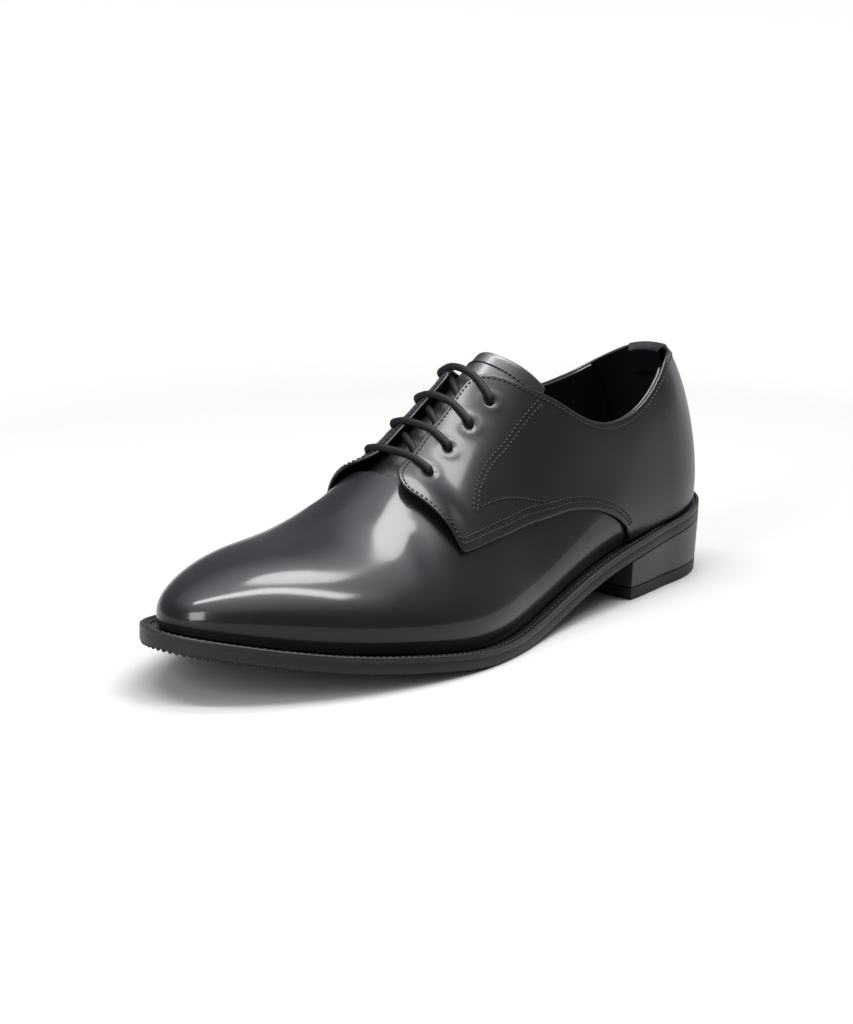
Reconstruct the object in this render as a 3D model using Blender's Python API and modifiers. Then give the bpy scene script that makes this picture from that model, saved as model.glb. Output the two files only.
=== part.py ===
"""A left derby shoe, standing empty on its sole: plain toe, open lacing, four blind eyelets a side.

Frame: metres, +X to the toe, +Y to the little toe's side, +Z up. The origin is on the floor, in the
middle of the heel's tread. The upper's outer face is one form, worked out from the sizes below, and
every other piece follows it.
"""

import math

import bmesh
import bpy
import numpy as np
from mathutils import Matrix, Vector

# The form: the upper's outer face
FORM_LENGTH = 0.2945  # heel point to toe point, along the feather line
BALL_WIDTH = 0.0940  # feather line's width at the ball
HEEL_SEAT_WIDTH = 0.0568  # feather line's width at the heel
COLLAR_BACK = 0.0660  # collar above the feather line at the back
INSTEP_HEIGHT = 0.0825  # ridge above the feather line at the top eyelets
TOE_HEIGHT = 0.0300  # ridge above the feather line at the toes
TOE_SWING = 0.0050  # how far the toe point lies to the big toe's side
SIDE_BULGE = 0.0038  # how far the side swells out over the feather line
BULGE_HEIGHT = 0.0130  # height of that swelling above the feather line
BACK_PITCH = 0.0080  # how far the back leans forward at the collar

# Sole and heel
TOE_WELT = 0.0062  # welt showing at the toe
SIDE_WELT = 0.0058  # welt showing at the ball and the waist
HEEL_RAND = 0.0040  # rand showing round the heel
OUTSOLE_THICKNESS = 0.0040
WELT_THICKNESS = 0.0020
SOLE_EDGE_ROUNDING = 0.0005
HEEL_HEIGHT = 0.0251  # floor to the outsole's underside at the back
SEAT_DROP = 0.0085  # how much lower the underside is at the breast
TOE_SPRING = 0.0175  # underside of the toe point above the floor
HEEL_LENGTH = 0.0780  # back of the heel to the top of the breast
HEEL_TAPER = 0.0008  # the heel's foot is this much smaller all round
TOP_LIFT_THICKNESS = 0.0050
INSOLE_THICKNESS = 0.0025

# Upper
UPPER_WALL = 0.0015
QUARTER_WALL = 0.0013
FACING_GAP = 0.0115  # between the facings at the top eyelets
THROAT_MARGIN = 0.0150  # the throat's edge lies this far under the facings
FACING_LIFT = 0.0030  # how far the facing's front corner stands off the vamp
TONGUE_WALL = 0.0022
TONGUE_GAP = 0.0022  # between the upper's inner face and the tongue
TAB_WALL = 0.0010
TAB_WIDTH = 0.0240
TAB_DEPTH = 0.0150  # how far the heel tab reaches down each face
CLEARANCE = 0.0003  # between neighbours that touch
CUTTER_INSIDE = 0.0040  # how far cutters reach inside the form
CUTTER_OUTSIDE = 0.0080  # and outside it

# Lacing
LACE_DIAMETER = 0.0030
EYELET_DIAMETER = 0.0040
EYELET_MARGIN = 0.0098  # eyelet's middle to the facing's edge, little toe's side
EYELET_MARGIN_MEDIAL = 0.0065  # the same on the big toe's side
HIDDEN_RUN = 0.0105  # how far in from the facing's edge the lace's hidden run lies

# Shares of the form's length, from the heel
HEEL_CENTRE = 0.135  # where the heel's round end begins
TOE_CENTRE = 0.700  # where the toe's round end begins
HEEL_ROUNDNESS = 2.25  # exponent of the heel's round end: 2 is an ellipse
TOE_ROUNDNESS = 2.25
CONE_TO_COLLAR = 1.36  # the form's own top over the heel, as a share of COLLAR_BACK

# Stations count along the form: 0 heel point, 1 toe point, with the round ends turned through here
HEEL_STATION = 0.17
TOE_STATION = 0.62

# The form's sections, from heel to toe. along: share of FORM_LENGTH. half: half width of the feather
# line, as a share of half the width there. middle: where its middle lies, as a share of
# BALL_WIDTH / 2. height: ridge above the feather line, as a share of the height there. side and top:
# exponents of the section, where larger is squarer. lean: how far the ridge leans to the little
# toe's side, as a share of BALL_WIDTH / 2. bulge: share of SIDE_BULGE.
SECTION_COLUMNS = ("along", "half", "middle", "height", "side", "top", "lean", "bulge")
SECTIONS = (
    (0.00, 0.980, 0.000, 1.000, 2.10, 2.30, 0.000, 0.10),
    (0.14, 1.005, 0.000, 1.000, 2.10, 2.30, 0.000, 0.20),
    (0.26, 0.995, 0.037, 1.060, 2.05, 2.25, -0.069, 0.55),
    (0.38, 0.806, 0.094, 1.190, 2.00, 2.15, -0.155, 0.90),
    (0.50, 0.764, 0.109, 1.000, 2.00, 2.05, -0.226, 1.00),
    (0.60, 0.895, 0.082, 0.825, 2.05, 2.00, -0.201, 1.00),
    (0.68, 0.973, 0.031, 0.805, 2.10, 2.00, -0.117, 1.00),
    (0.76, 0.965, -0.022, 0.902, 2.20, 2.10, -0.042, 0.95),
    (0.85, 0.893, -0.044, 1.109, 2.35, 2.20, -0.020, 0.75),
    (0.93, 0.789, -0.055, 1.000, 2.45, 2.30, 0.000, 0.50),
    (1.00, 0.672, -0.070, 0.823, 2.50, 2.40, 0.020, 0.35),
)

# The outsole's underside. along: share of FORM_LENGTH. back, breast and toe: shares of HEEL_HEIGHT,
# of the underside's height at the breast and of TOE_SPRING, which add up.
UNDERSIDE_COLUMNS = ("along", "back", "breast", "toe")
UNDERSIDE = (
    (0.000, 1.00, 0.000, 0.000),
    (0.130, 0.49, 0.510, 0.000),
    (0.254, 0.00, 1.000, 0.000),
    (0.360, 0.00, 0.615, 0.000),
    (0.450, 0.00, 0.230, 0.000),
    (0.520, 0.00, 0.035, 0.000),
    (0.555, 0.00, 0.000, 0.000),
    (0.605, 0.00, 0.000, 0.000),
    (0.660, 0.00, 0.000, 0.070),
    (0.720, 0.00, 0.000, 0.195),
    (0.850, 0.00, 0.000, 0.500),
    (1.000, 0.00, 0.000, 1.000),
)
TREAD = (0.550, 0.610)  # the forepart's flat spot lies between these shares

# The collar's edge. station: from the heel point. lateral and medial: share of the way up the
# section, from the feather line to the ridge.
TOPLINE_COLUMNS = ("station", "lateral", "medial")
TOPLINE = (
    (0.000, 0.480, 0.480),
    (0.040, 0.486, 0.464),
    (0.080, 0.491, 0.433),
    (0.120, 0.488, 0.402),
    (0.150, 0.458, 0.384),
    (0.180, 0.401, 0.376),
    (0.217, 0.351, 0.371),
    (0.261, 0.328, 0.374),
    (0.289, 0.334, 0.383),
    (0.317, 0.361, 0.401),
    (0.346, 0.421, 0.441),
    (0.372, 0.502, 0.515),
    (0.403, 0.642, 0.650),
    (0.425, 0.803, 0.805),
)

# The quarter's outline as ribs from the front edge to the back. low: on the lower seam. high: on the
# facing's edge. station: along the form. up: share of the way up the section. out: distance from
# the ridge as a share of FACING_GAP.
FACING_COLUMNS = ("low_station", "low_up", "high_station", "high_out")
FACING_RIBS = (
    (0.565, 0.398, 0.578, 1.55),
    (0.559, 0.391, 0.574, 1.12),
    (0.550, 0.380, 0.564, 0.80),
    (0.532, 0.360, 0.541, 0.64),
    (0.508, 0.333, 0.509, 0.55),
    (0.476, 0.296, 0.473, 0.51),
    (0.444, 0.259, 0.443, 0.47),
)
# How much nearer the heel the quarter's front edge lies on the big toe's side, in stations
MEDIAL_SET_BACK = 0.0165
# The same ribs further back, with high on the topline
COLLAR_RIB_COLUMNS = ("low_station", "low_up", "high_station")
COLLAR_RIBS = (
    (0.428, 0.238, 0.427),
    (0.405, 0.210, 0.403),
    (0.378, 0.184, 0.372),
    (0.348, 0.151, 0.346),
    (0.318, 0.120, 0.317),
    (0.292, 0.086, 0.289),
    (0.266, 0.040, 0.257),
    (0.244, -0.020, 0.228),
    (0.200, -0.020, 0.196),
    (0.170, -0.020, 0.170),
    (0.000, -0.020, 0.000),
)

# Stations of the eyelets, from the toe's end to the top
EYELETS_LATERAL = (0.542, 0.507, 0.473, 0.440)
EYELETS_MEDIAL = (0.533, 0.497, 0.461, 0.426)

# The throat in the upper. out: distance from the ridge as a share of the facing's own, which is half
# of FACING_GAP plus THROAT_MARGIN.
THROAT_COLUMNS = ("station", "out")
THROAT = (
    (0.564, 0.40),
    (0.560, 0.80),
    (0.552, 1.00),
    (0.540, 1.04),
    (0.516, 1.02),
    (0.477, 1.00),
    (0.437, 1.00),
    (0.401, 1.02),
    (0.369, 1.05),
)
# Behind this station the upper's sheet needs nothing above this share of the way up
OPEN_BEHIND = 0.536
OPEN_ABOVE = 0.72

# The tongue's width. along: share of the way from its front edge to its top. out: half width as a
# share of the throat's own.
TONGUE_WIDTH_COLUMNS = ("along", "out")
TONGUE_WIDTH = ((0.00, 0.70), (0.12, 0.95), (0.30, 1.14), (0.60, 1.20), (0.85, 1.16), (1.00, 1.02))
# The tongue's top edge. out: share of its half width, from the ridge. station: along the form.
TONGUE_TOP_COLUMNS = ("out", "station")
TONGUE_TOP = ((0.00, 0.405), (0.25, 0.399), (0.50, 0.387), (0.75, 0.372), (0.92, 0.362), (1.00, 0.368))
TONGUE_FRONT = 0.584


def column(rows, columns, name):
    """One named column of a table."""
    place = columns.index(name)
    return np.array([row[place] for row in rows], dtype=float)


def spline(xs, ys):
    """Smooth curve through the points, straight beyond both ends."""
    xs = np.asarray(xs, dtype=float)
    ys = np.asarray(ys, dtype=float)
    count = len(xs)
    step = np.diff(xs)
    matrix = np.zeros((count, count))
    right = np.zeros(count)
    matrix[0, 0] = matrix[-1, -1] = 1.0
    for i in range(1, count - 1):
        matrix[i, i - 1:i + 2] = step[i - 1], 2.0 * (step[i - 1] + step[i]), step[i]
        right[i] = 6.0 * ((ys[i + 1] - ys[i]) / step[i] - (ys[i] - ys[i - 1]) / step[i - 1])
    bend = np.linalg.solve(matrix, right)

    def value(x):
        x = np.asarray(x, dtype=float)
        held = np.clip(x, xs[0], xs[-1])
        i = np.clip(np.searchsorted(xs, held) - 1, 0, count - 2)
        before, after = held - xs[i], xs[i + 1] - held
        result = (bend[i] * after ** 3 + bend[i + 1] * before ** 3) / (6.0 * step[i])
        result += (ys[i] / step[i] - bend[i] * step[i] / 6.0) * after
        result += (ys[i + 1] / step[i] - bend[i + 1] * step[i] / 6.0) * before
        first = (ys[1] - ys[0]) / step[0] - bend[1] * step[0] / 6.0
        last = (ys[-1] - ys[-2]) / step[-1] + bend[-2] * step[-1] / 6.0
        return result + np.where(x < xs[0], (x - xs[0]) * first, 0.0) + np.where(
            x > xs[-1], (x - xs[-1]) * last, 0.0)

    return value


def ease(x, start, end):
    """0 before start, 1 after end, smooth between."""
    t = np.clip((np.asarray(x, dtype=float) - start) / (end - start), 0.0, 1.0)
    return t ** 3 * (t * (6.0 * t - 15.0) + 10.0)


SECTION = {
    name: spline(column(SECTIONS, SECTION_COLUMNS, "along"), column(SECTIONS, SECTION_COLUMNS, name))
    for name in SECTION_COLUMNS[1:]
}
BREAST_HEIGHT = HEEL_HEIGHT - SEAT_DROP
UNDERSIDE_CURVE = spline(
    column(UNDERSIDE, UNDERSIDE_COLUMNS, "along"),
    column(UNDERSIDE, UNDERSIDE_COLUMNS, "back") * HEEL_HEIGHT
    + column(UNDERSIDE, UNDERSIDE_COLUMNS, "breast") * BREAST_HEIGHT
    + column(UNDERSIDE, UNDERSIDE_COLUMNS, "toe") * TOE_SPRING,
)
BACK_X = HEEL_RAND - HEEL_LENGTH / 2.0  # the form's heel point


def half_width(along):
    """Half width of the feather line, before the round ends."""
    width = HEEL_SEAT_WIDTH + (BALL_WIDTH - HEEL_SEAT_WIDTH) * ease(along, 0.2, 0.6)
    return SECTION["half"](along) * width / 2.0


def middle(along):
    """Where the feather line's middle lies."""
    swing = TOE_SWING * np.clip((along - 0.55) / 0.45, 0.0, 1.0) ** 2
    return SECTION["middle"](along) * BALL_WIDTH / 2.0 - swing


def ridge_height(along):
    """Ridge above the feather line."""
    cone = COLLAR_BACK * CONE_TO_COLLAR
    height = cone + (INSTEP_HEIGHT - cone) * ease(along, 0.2, 0.5)
    height = height + (TOE_HEIGHT - INSTEP_HEIGHT) * ease(along, 0.5, 0.9)
    return SECTION["height"](along) * height


def along_of(x):
    return (np.asarray(x, dtype=float) - BACK_X) / FORM_LENGTH


def underside(along):
    """Smooth height of the outsole's underside."""
    return UNDERSIDE_CURVE(along)


def feather_height(along):
    """Height of the upper's lower edge."""
    return underside(along) + OUTSOLE_THICKNESS + WELT_THICKNESS + 2.0 * CLEARANCE


def station_of(along):
    """Station of a place between the round ends."""
    share = (np.asarray(along, dtype=float) - HEEL_CENTRE) / (TOE_CENTRE - HEEL_CENTRE)
    return HEEL_STATION + share * (TOE_STATION - HEEL_STATION)


def plan(station, out):
    """Place in plan: share along and share of the half width, out from the spine."""
    heel = np.clip(station / HEEL_STATION, 0.0, 1.0) * math.pi / 2.0
    toe = np.clip((1.0 - station) / (1.0 - TOE_STATION), 0.0, 1.0) * math.pi / 2.0
    run = HEEL_CENTRE + (TOE_CENTRE - HEEL_CENTRE) * (station - HEEL_STATION) / (
        TOE_STATION - HEEL_STATION)
    back = HEEL_CENTRE * (1.0 - out * np.abs(np.cos(heel)) ** (2.0 / HEEL_ROUNDNESS))
    front = TOE_CENTRE + (1.0 - TOE_CENTRE) * out * np.abs(np.cos(toe)) ** (2.0 / TOE_ROUNDNESS)
    along = np.where(station < HEEL_STATION, back, np.where(station > TOE_STATION, front, run))
    aside = np.where(station < HEEL_STATION, np.abs(np.sin(heel)) ** (2.0 / HEEL_ROUNDNESS), 1.0)
    aside = np.where(station > TOE_STATION, np.abs(np.sin(toe)) ** (2.0 / TOE_ROUNDNESS), aside)
    return along, out * aside


def raw_form(station, up, side):
    """Point of the form. up: 0 feather line, 1 ridge. side: 1 little toe, -1 big toe."""
    edge_along, _ = plan(station, 1.0)
    turn = up * math.pi / 2.0
    out = np.abs(np.cos(turn)) ** (2.0 / SECTION["side"](edge_along))
    rise = np.abs(np.sin(turn)) ** (2.0 / SECTION["top"](edge_along))
    along, aside = plan(station, out)
    height = ridge_height(along) * rise
    y = middle(along) + side * aside * half_width(along)
    y = y + SECTION["lean"](along) * BALL_WIDTH / 2.0 * rise
    z = feather_height(along) + height
    normal_x, normal_y = plan_normal(station, side)
    swell = height / BULGE_HEIGHT
    bulge = SIDE_BULGE * SECTION["bulge"](edge_along) * (swell * np.exp(1.0 - swell)) ** 2
    bulge = bulge * (1.0 - up ** 4)
    pitch = BACK_PITCH * (height / COLLAR_BACK) ** 2 * (1.0 - ease(along, 0.0, 0.4))
    x = BACK_X + along * FORM_LENGTH + normal_x * bulge + pitch
    return np.stack(np.broadcast_arrays(x, y + normal_y * bulge, z), axis=-1)


def plan_normal(station, side):
    """Direction out of the feather line in plan."""
    step = 1.0e-4
    before, after = feather(station - step, side), feather(station + step, side)
    run_x, run_y = after[0] - before[0], after[1] - before[1]
    length = np.hypot(run_x, run_y) + 1.0e-12
    return -run_y * side / length, run_x * side / length


def feather(station, side):
    """The feather line in plan, also a little past its ends, onto the other side."""
    side = side * np.where((station < 0.0) | (station > 1.0), -1.0, 1.0)
    along, aside = plan(np.where(station > 1.0, 2.0 - station, np.abs(station)), 1.0)
    return BACK_X + along * FORM_LENGTH, middle(along) + side * aside * half_width(along)


def form(station, up, side):
    """The form, also a little past its heel point, toe point and ridge, onto the other side."""
    station, up, side = np.broadcast_arrays(
        np.asarray(station, dtype=float), np.asarray(up, dtype=float), np.asarray(side, dtype=float))
    flip = np.where((station < 0.0) ^ (station > 1.0) ^ (up > 1.0), -1.0, 1.0)
    station = np.where(station > 1.0, 2.0 - station, np.abs(station))
    up = np.clip(np.where(up > 1.0, 2.0 - up, up), 0.0, 1.0)
    return raw_form(station, up, side * flip)


def form_normal(station, up, side):
    """Direction out of the form."""
    step = 2.0e-3
    station, up, side = np.broadcast_arrays(
        np.asarray(station, dtype=float), np.asarray(up, dtype=float), np.asarray(side, dtype=float))
    turning = (np.abs(station) < HEEL_STATION) | (station > TOE_STATION)
    up = np.where(turning, np.minimum(up, 0.98), up)
    along_run = form(station + step, up, side) - form(station - step, up, side)
    up_run = form(station, up + step, side) - form(station, np.maximum(up - step, 0.0), side)
    normal = np.cross(along_run, up_run) * -side[..., None]
    return normal / (np.linalg.norm(normal, axis=-1, keepdims=True) + 1.0e-15)


def offset_form(station, up, side, distance):
    """The form moved out by a distance."""
    distance = np.asarray(distance, dtype=float)[..., None]
    return form(station, up, side) + form_normal(station, up, side) * distance


def up_at(station, distance, side):
    """Share of the way up where the form lies this far from its ridge, seen from above."""
    station, distance = np.broadcast_arrays(station, distance)
    low, high = np.zeros(station.shape), np.ones(station.shape)
    ridge = form(station, 1.0, side)[..., 1]
    for _ in range(30):
        share = (low + high) / 2.0
        beyond = np.abs(form(station, share, side)[..., 1] - ridge) > distance
        low, high = np.where(beyond, share, low), np.where(beyond, high, share)
    return (low + high) / 2.0


# Meshes

def new_object(name, mesh, collection, material=None, smooth=30.0):
    """An object with its mesh in a collection."""
    piece = bpy.data.objects.new(name, mesh)
    collection.objects.link(piece)
    if material is not None:
        mesh.materials.append(material)
        mesh.shade_smooth()
        mesh.set_sharp_from_angle(angle=math.radians(smooth))
    return piece


def mesh_of(name, points, faces, closed=True):
    """A mesh with doubled points joined."""
    mesh = bpy.data.meshes.new(name)
    mesh.from_pydata([tuple(point) for point in points], [], faces)
    work = bmesh.new()
    work.from_mesh(mesh)
    bmesh.ops.remove_doubles(work, verts=work.verts, dist=1.0e-5)
    bmesh.ops.dissolve_degenerate(work, edges=work.edges, dist=1.0e-6)
    loose = [vertex for vertex in work.verts if not vertex.link_faces]
    bmesh.ops.delete(work, geom=loose, context="VERTS")
    if closed:
        bmesh.ops.recalc_face_normals(work, faces=work.faces)
    work.to_mesh(mesh)
    work.free()
    return mesh


def grid_faces(rows, columns, start=0, reverse=False):
    """Quads of a grid whose points run row by row."""
    faces = []
    for i in range(rows - 1):
        for j in range(columns - 1):
            corner = start + i * columns + j
            face = (corner, corner + columns, corner + columns + 1, corner + 1)
            faces.append(face[::-1] if reverse else face)
    return faces


def loft(name, sections, caps):
    """A closed solid through rings of points, with ribbon caps between paired points."""
    sections = np.asarray(sections)
    rings, size = sections.shape[:2]
    faces = []
    for i in range(rings - 1):
        for j in range(size):
            nxt = (j + 1) % size
            faces.append((i * size + j, (i + 1) * size + j, (i + 1) * size + nxt, i * size + nxt))
    if caps:
        for ring in (0, rings - 1):
            start = ring * size
            for j in range(size // 2 - 1):
                faces.append((start + j, start + j + 1, start + size - 2 - j, start + size - 1 - j))
    return mesh_of(name, sections.reshape(-1, 3), faces)


def solidify(piece, thickness, offset):
    wall = piece.modifiers.new("wall", "SOLIDIFY")
    wall.thickness = thickness
    wall.offset = offset
    wall.use_even_offset = True
    wall.use_quality_normals = True


def boolean(piece, cutter, operation, use_self=False):
    cut = piece.modifiers.new(operation.lower(), "BOOLEAN")
    cut.operation = operation
    cut.object = cutter
    cut.solver = "EXACT"
    cut.use_self = use_self


def hide_cutter(cutter):
    cutter.hide_render = True
    cutter.display_type = "WIRE"


# Stations and levels that every sheet of the upper shares, so that neighbours stay parallel
def shared_stations(first, last):
    heel = np.linspace(0.0, HEEL_STATION, 8)
    run = np.linspace(HEEL_STATION, TOE_STATION, 18)
    toe = np.linspace(TOE_STATION, 1.0, 11)
    stations = np.unique(np.round(np.concatenate([heel, run, toe]), 9))
    inside = stations[(stations > first) & (stations < last)]
    return np.concatenate([[first], inside, [last]])


LEVELS = np.linspace(0.0, 1.0, 15)


# Sole and heel

def sole_margin(station):
    """How far the sole's edge lies outside the feather line."""
    side = HEEL_RAND + (SIDE_WELT - HEEL_RAND) * ease(station, 0.15, 0.27)
    return side + (TOE_WELT - SIDE_WELT) * ease(station, 0.6, 1.0)


def outline(station, side, distance):
    """The feather line moved outwards in plan."""
    x, y = feather(station, side)
    normal_x, normal_y = plan_normal(station, side)
    return x + normal_x * distance, y + normal_y * distance


def rim(stations, margin, height):
    """Both edges of a sole layer, from heel to toe, at a height worked out from the place along."""
    edges = []
    for side in (1.0, -1.0):
        x, y = outline(stations, side, margin)
        edges.append(np.stack([x, y, height(along_of(x))], axis=-1))
    return edges


def slab(name, rims):
    """A closed solid between the rims of a sole layer, lowest first."""
    count = len(rims[0][0])
    points = np.concatenate([edge for pair in rims for edge in pair])
    faces = []
    for level in (0, len(rims) - 1):
        left, right = 2 * level * count, (2 * level + 1) * count
        for i in range(count - 1):
            faces.append((left + i, left + i + 1, right + i + 1, right + i))
    for level in range(len(rims) - 1):
        for edge in (0, 1):
            low = (2 * level + edge) * count
            high = low + 2 * count
            for i in range(count - 1):
                faces.append((low + i, low + i + 1, high + i + 1, high + i))
        left, right = 2 * level * count, (2 * level + 1) * count
        for end in (0, count - 1):
            faces.append((left + end, right + end, right + end + 2 * count, left + end + 2 * count))
    return mesh_of(name, points, faces)


def sole_stations(last=1.0):
    heel = np.linspace(0.0, HEEL_STATION, 13)
    run = np.linspace(HEEL_STATION, TOE_STATION, 23)
    toe = np.linspace(TOE_STATION, 1.0, 18)
    stations = np.unique(np.round(np.concatenate([heel, run, toe]), 9))
    return np.concatenate([stations[stations < last - 0.006], [last]])


def tread_height(along):
    """The outsole's underside, flat on the floor under the forepart."""
    height = np.maximum(underside(along), 0.0)
    flat = (along >= TREAD[0]) & (along <= TREAD[1])
    return np.where(flat, 0.0, height)


def round_edges(piece, width):
    bevel = piece.modifiers.new("edges", "BEVEL")
    bevel.width = width
    bevel.segments = 2
    bevel.limit_method = "ANGLE"
    bevel.angle_limit = math.radians(50.0)


def add_outsole(parts, material):
    stations = sole_stations()
    margin = sole_margin(stations)
    top = rim(stations, margin, lambda along: underside(along) + OUTSOLE_THICKNESS)
    piece = new_object(
        "outsole", slab("outsole", [rim(stations, margin, tread_height), top]), parts, material)
    round_edges(piece, SOLE_EDGE_ROUNDING)


def add_welt(parts, material):
    stations = sole_stations()
    margin = sole_margin(stations)
    base = OUTSOLE_THICKNESS + CLEARANCE
    rims = [rim(stations, margin, lambda along, rise=rise: underside(along) + base + rise)
            for rise in (0.0, WELT_THICKNESS)]
    round_edges(new_object("welt", slab("welt", rims), parts, material), SOLE_EDGE_ROUNDING)


def heel_rim(height_at_back, height):
    """Rim of the heel at a level, with the breast's straight edge."""
    inset = HEEL_TAPER * (1.0 - height_at_back / HEEL_HEIGHT)
    breast_x = HEEL_LENGTH / 2.0 - inset
    stations = sole_stations(float(station_of(along_of(breast_x))))
    edges = rim(stations, sole_margin(stations) - inset, height)
    for edge in edges:
        edge[-1, 0] = breast_x
        edge[-1, 2] = height(along_of(breast_x))
    return edges


def add_heel(parts, material):
    foot = TOP_LIFT_THICKNESS + CLEARANCE
    rims = [
        heel_rim(foot, lambda along: np.full_like(along, foot)),
        heel_rim(HEEL_HEIGHT, lambda along: underside(along) - CLEARANCE),
    ]
    new_object("heel", slab("heel", rims), parts, material)


def add_top_lift(parts, material):
    rims = [heel_rim(level, lambda along, level=level: np.full_like(along, level))
            for level in (0.0, TOP_LIFT_THICKNESS)]
    round_edges(new_object("top_lift", slab("top_lift", rims), parts, material), SOLE_EDGE_ROUNDING)


def add_insole(parts, material):
    stations = sole_stations()
    margin = -(UPPER_WALL + 2.0 * CLEARANCE)
    rims = [rim(stations, margin, lambda along, rise=rise: feather_height(along) + rise)
            for rise in (0.0, INSOLE_THICKNESS)]
    new_object("insole", slab("insole", rims), parts, material)


# Outlines on the upper

def topline(station, side):
    """The collar's edge, as a share of the way up the section."""
    name = "lateral" if side > 0.0 else "medial"
    edge = spline(column(TOPLINE, TOPLINE_COLUMNS, "station"), column(TOPLINE, TOPLINE_COLUMNS, name))
    return np.where(station > TOPLINE[-1][0] + 0.004, 1.0, np.minimum(edge(station), 1.0))


def facing_ribs(side):
    """Named columns of the facing's ribs on one side."""
    ribs = {name: column(FACING_RIBS, FACING_COLUMNS, name) for name in FACING_COLUMNS}
    if side < 0.0:
        for name in ("low_station", "high_station"):
            ribs[name] = ribs[name] - MEDIAL_SET_BACK * ease(ribs[name], 0.45, 0.54)
    return ribs


def facing_out(station, side):
    """The facing's edge: its distance from the ridge."""
    ribs = facing_ribs(side)
    return np.interp(station, ribs["high_station"][::-1], ribs["high_out"][::-1]) * FACING_GAP


def throat_half():
    return FACING_GAP / 2.0 + THROAT_MARGIN


def collar_stations():
    """Stations from the facing's top corner back to the heel point."""
    heel = shared_stations(0.0, HEEL_STATION)[::-1]
    return np.concatenate([np.linspace(COLLAR_RIBS[0][2], HEEL_STATION, 24), heel[1:]])


def opening_cutter(cutters):
    """What the collar and the throat leave open."""
    front = column(THROAT, THROAT_COLUMNS, "station")
    outs = column(THROAT, THROAT_COLUMNS, "out") * throat_half()
    back = collar_stations()
    stations = np.concatenate([front, back[back < front[-1] - 0.004]])
    top = 2.0 * COLLAR_BACK + HEEL_HEIGHT
    edges = []
    for side in (1.0, -1.0):
        ups = topline(stations, side)
        ups[:len(front)] = np.minimum(ups[:len(front)], up_at(front, outs, side))
        low = offset_form(stations, ups, side, -CUTTER_INSIDE)
        out = offset_form(stations, ups, side, CUTTER_OUTSIDE)
        high = out.copy()
        high[:, 2] = top
        edges.append((low, out, high))
    left, right = edges
    rings = [[left[0][i], left[1][i], left[2][i], right[2][i], right[1][i], right[0][i]]
             for i in range(len(stations))]
    cutter = new_object("throat_cutter", loft("throat_cutter", rings, True), cutters)
    hide_cutter(cutter)
    return cutter


def back_seam_station():
    """Station where the quarters stop short of the back seam."""
    share = CLEARANCE / HEEL_SEAT_WIDTH
    return HEEL_STATION * 2.0 / math.pi * math.asin(share ** (HEEL_ROUNDNESS / 2.0))


def add_upper(parts, material, opening):
    stations = shared_stations(0.0, 1.0)
    points, faces = [], []
    for side in (1.0, -1.0):
        sheet = form(stations[:, None], LEVELS[None, :], side)
        whole = grid_faces(len(stations), len(LEVELS), reverse=side > 0.0)
        for face in whole:
            row, level = divmod(min(face), len(LEVELS))
            if stations[row] > OPEN_BEHIND or LEVELS[level] < OPEN_ABOVE:
                faces.append([corner + len(points) for corner in face])
        points += list(sheet.reshape(-1, 3))
    piece = new_object("upper", mesh_of("upper", points, faces, closed=False), parts, material)
    solidify(piece, UPPER_WALL, -1.0)
    boolean(piece, opening, "DIFFERENCE", use_self=True)


# Quarters

def quarter_offset(station, up):
    """How far the quarter's inner face stands off the form."""
    return CLEARANCE + FACING_LIFT * ease(station, 0.528, 0.576) * ease(up, 0.30, 0.62)


def quarter_ribs(side):
    """Ends of the quarter's ribs: stations and shares of the way up, low and high."""
    rows = COLLAR_RIBS[::-1]
    high = column(rows, COLLAR_RIB_COLUMNS, "high_station")
    seam_station = spline(high, column(rows, COLLAR_RIB_COLUMNS, "low_station"))
    seam_up = column(rows, COLLAR_RIB_COLUMNS, "low_up")
    back = np.maximum(collar_stations(), back_seam_station())
    low_back = np.maximum(seam_station(back), back_seam_station())
    ribs = facing_ribs(side)
    front = ribs["high_station"]
    low_station = np.concatenate([ribs["low_station"], low_back])
    low_up = np.concatenate([ribs["low_up"], np.interp(back, high, seam_up)])
    high_up = np.concatenate([up_at(front, ribs["high_out"] * FACING_GAP, side), topline(back, side)])
    return low_station, low_up, np.concatenate([front, back]), high_up


def quarter_cutter(name, side, cutters):
    """A thick solid over the quarter's outline."""
    low_station, low_up, high_station, high_up = quarter_ribs(side)
    shares = np.linspace(0.0, 1.0, 8)[None, :]
    stations = low_station[:, None] + (high_station - low_station)[:, None] * shares
    ups = low_up[:, None] + (high_up - low_up)[:, None] * shares
    outer = offset_form(stations, np.maximum(ups, 0.0), side, CUTTER_OUTSIDE)
    inner = offset_form(stations, np.maximum(ups, 0.0), side, -CUTTER_INSIDE)
    for sheet in (outer, inner):
        sheet[..., 2] -= np.where(ups < 0.0, 0.0040, 0.0)
    rings = np.concatenate([outer, inner[:, ::-1]], axis=1)
    cutter = new_object(name, loft(name, rings, True), cutters)
    hide_cutter(cutter)
    return cutter


def eyelet_places(side):
    """Each eyelet's station, share of the way up and the quarter's inner offset there."""
    stations = np.array(EYELETS_LATERAL if side > 0.0 else EYELETS_MEDIAL)
    margin = EYELET_MARGIN if side > 0.0 else EYELET_MARGIN_MEDIAL
    ups = up_at(stations, facing_out(stations, side) + margin, side)
    return stations, ups, quarter_offset(stations, ups)


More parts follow.
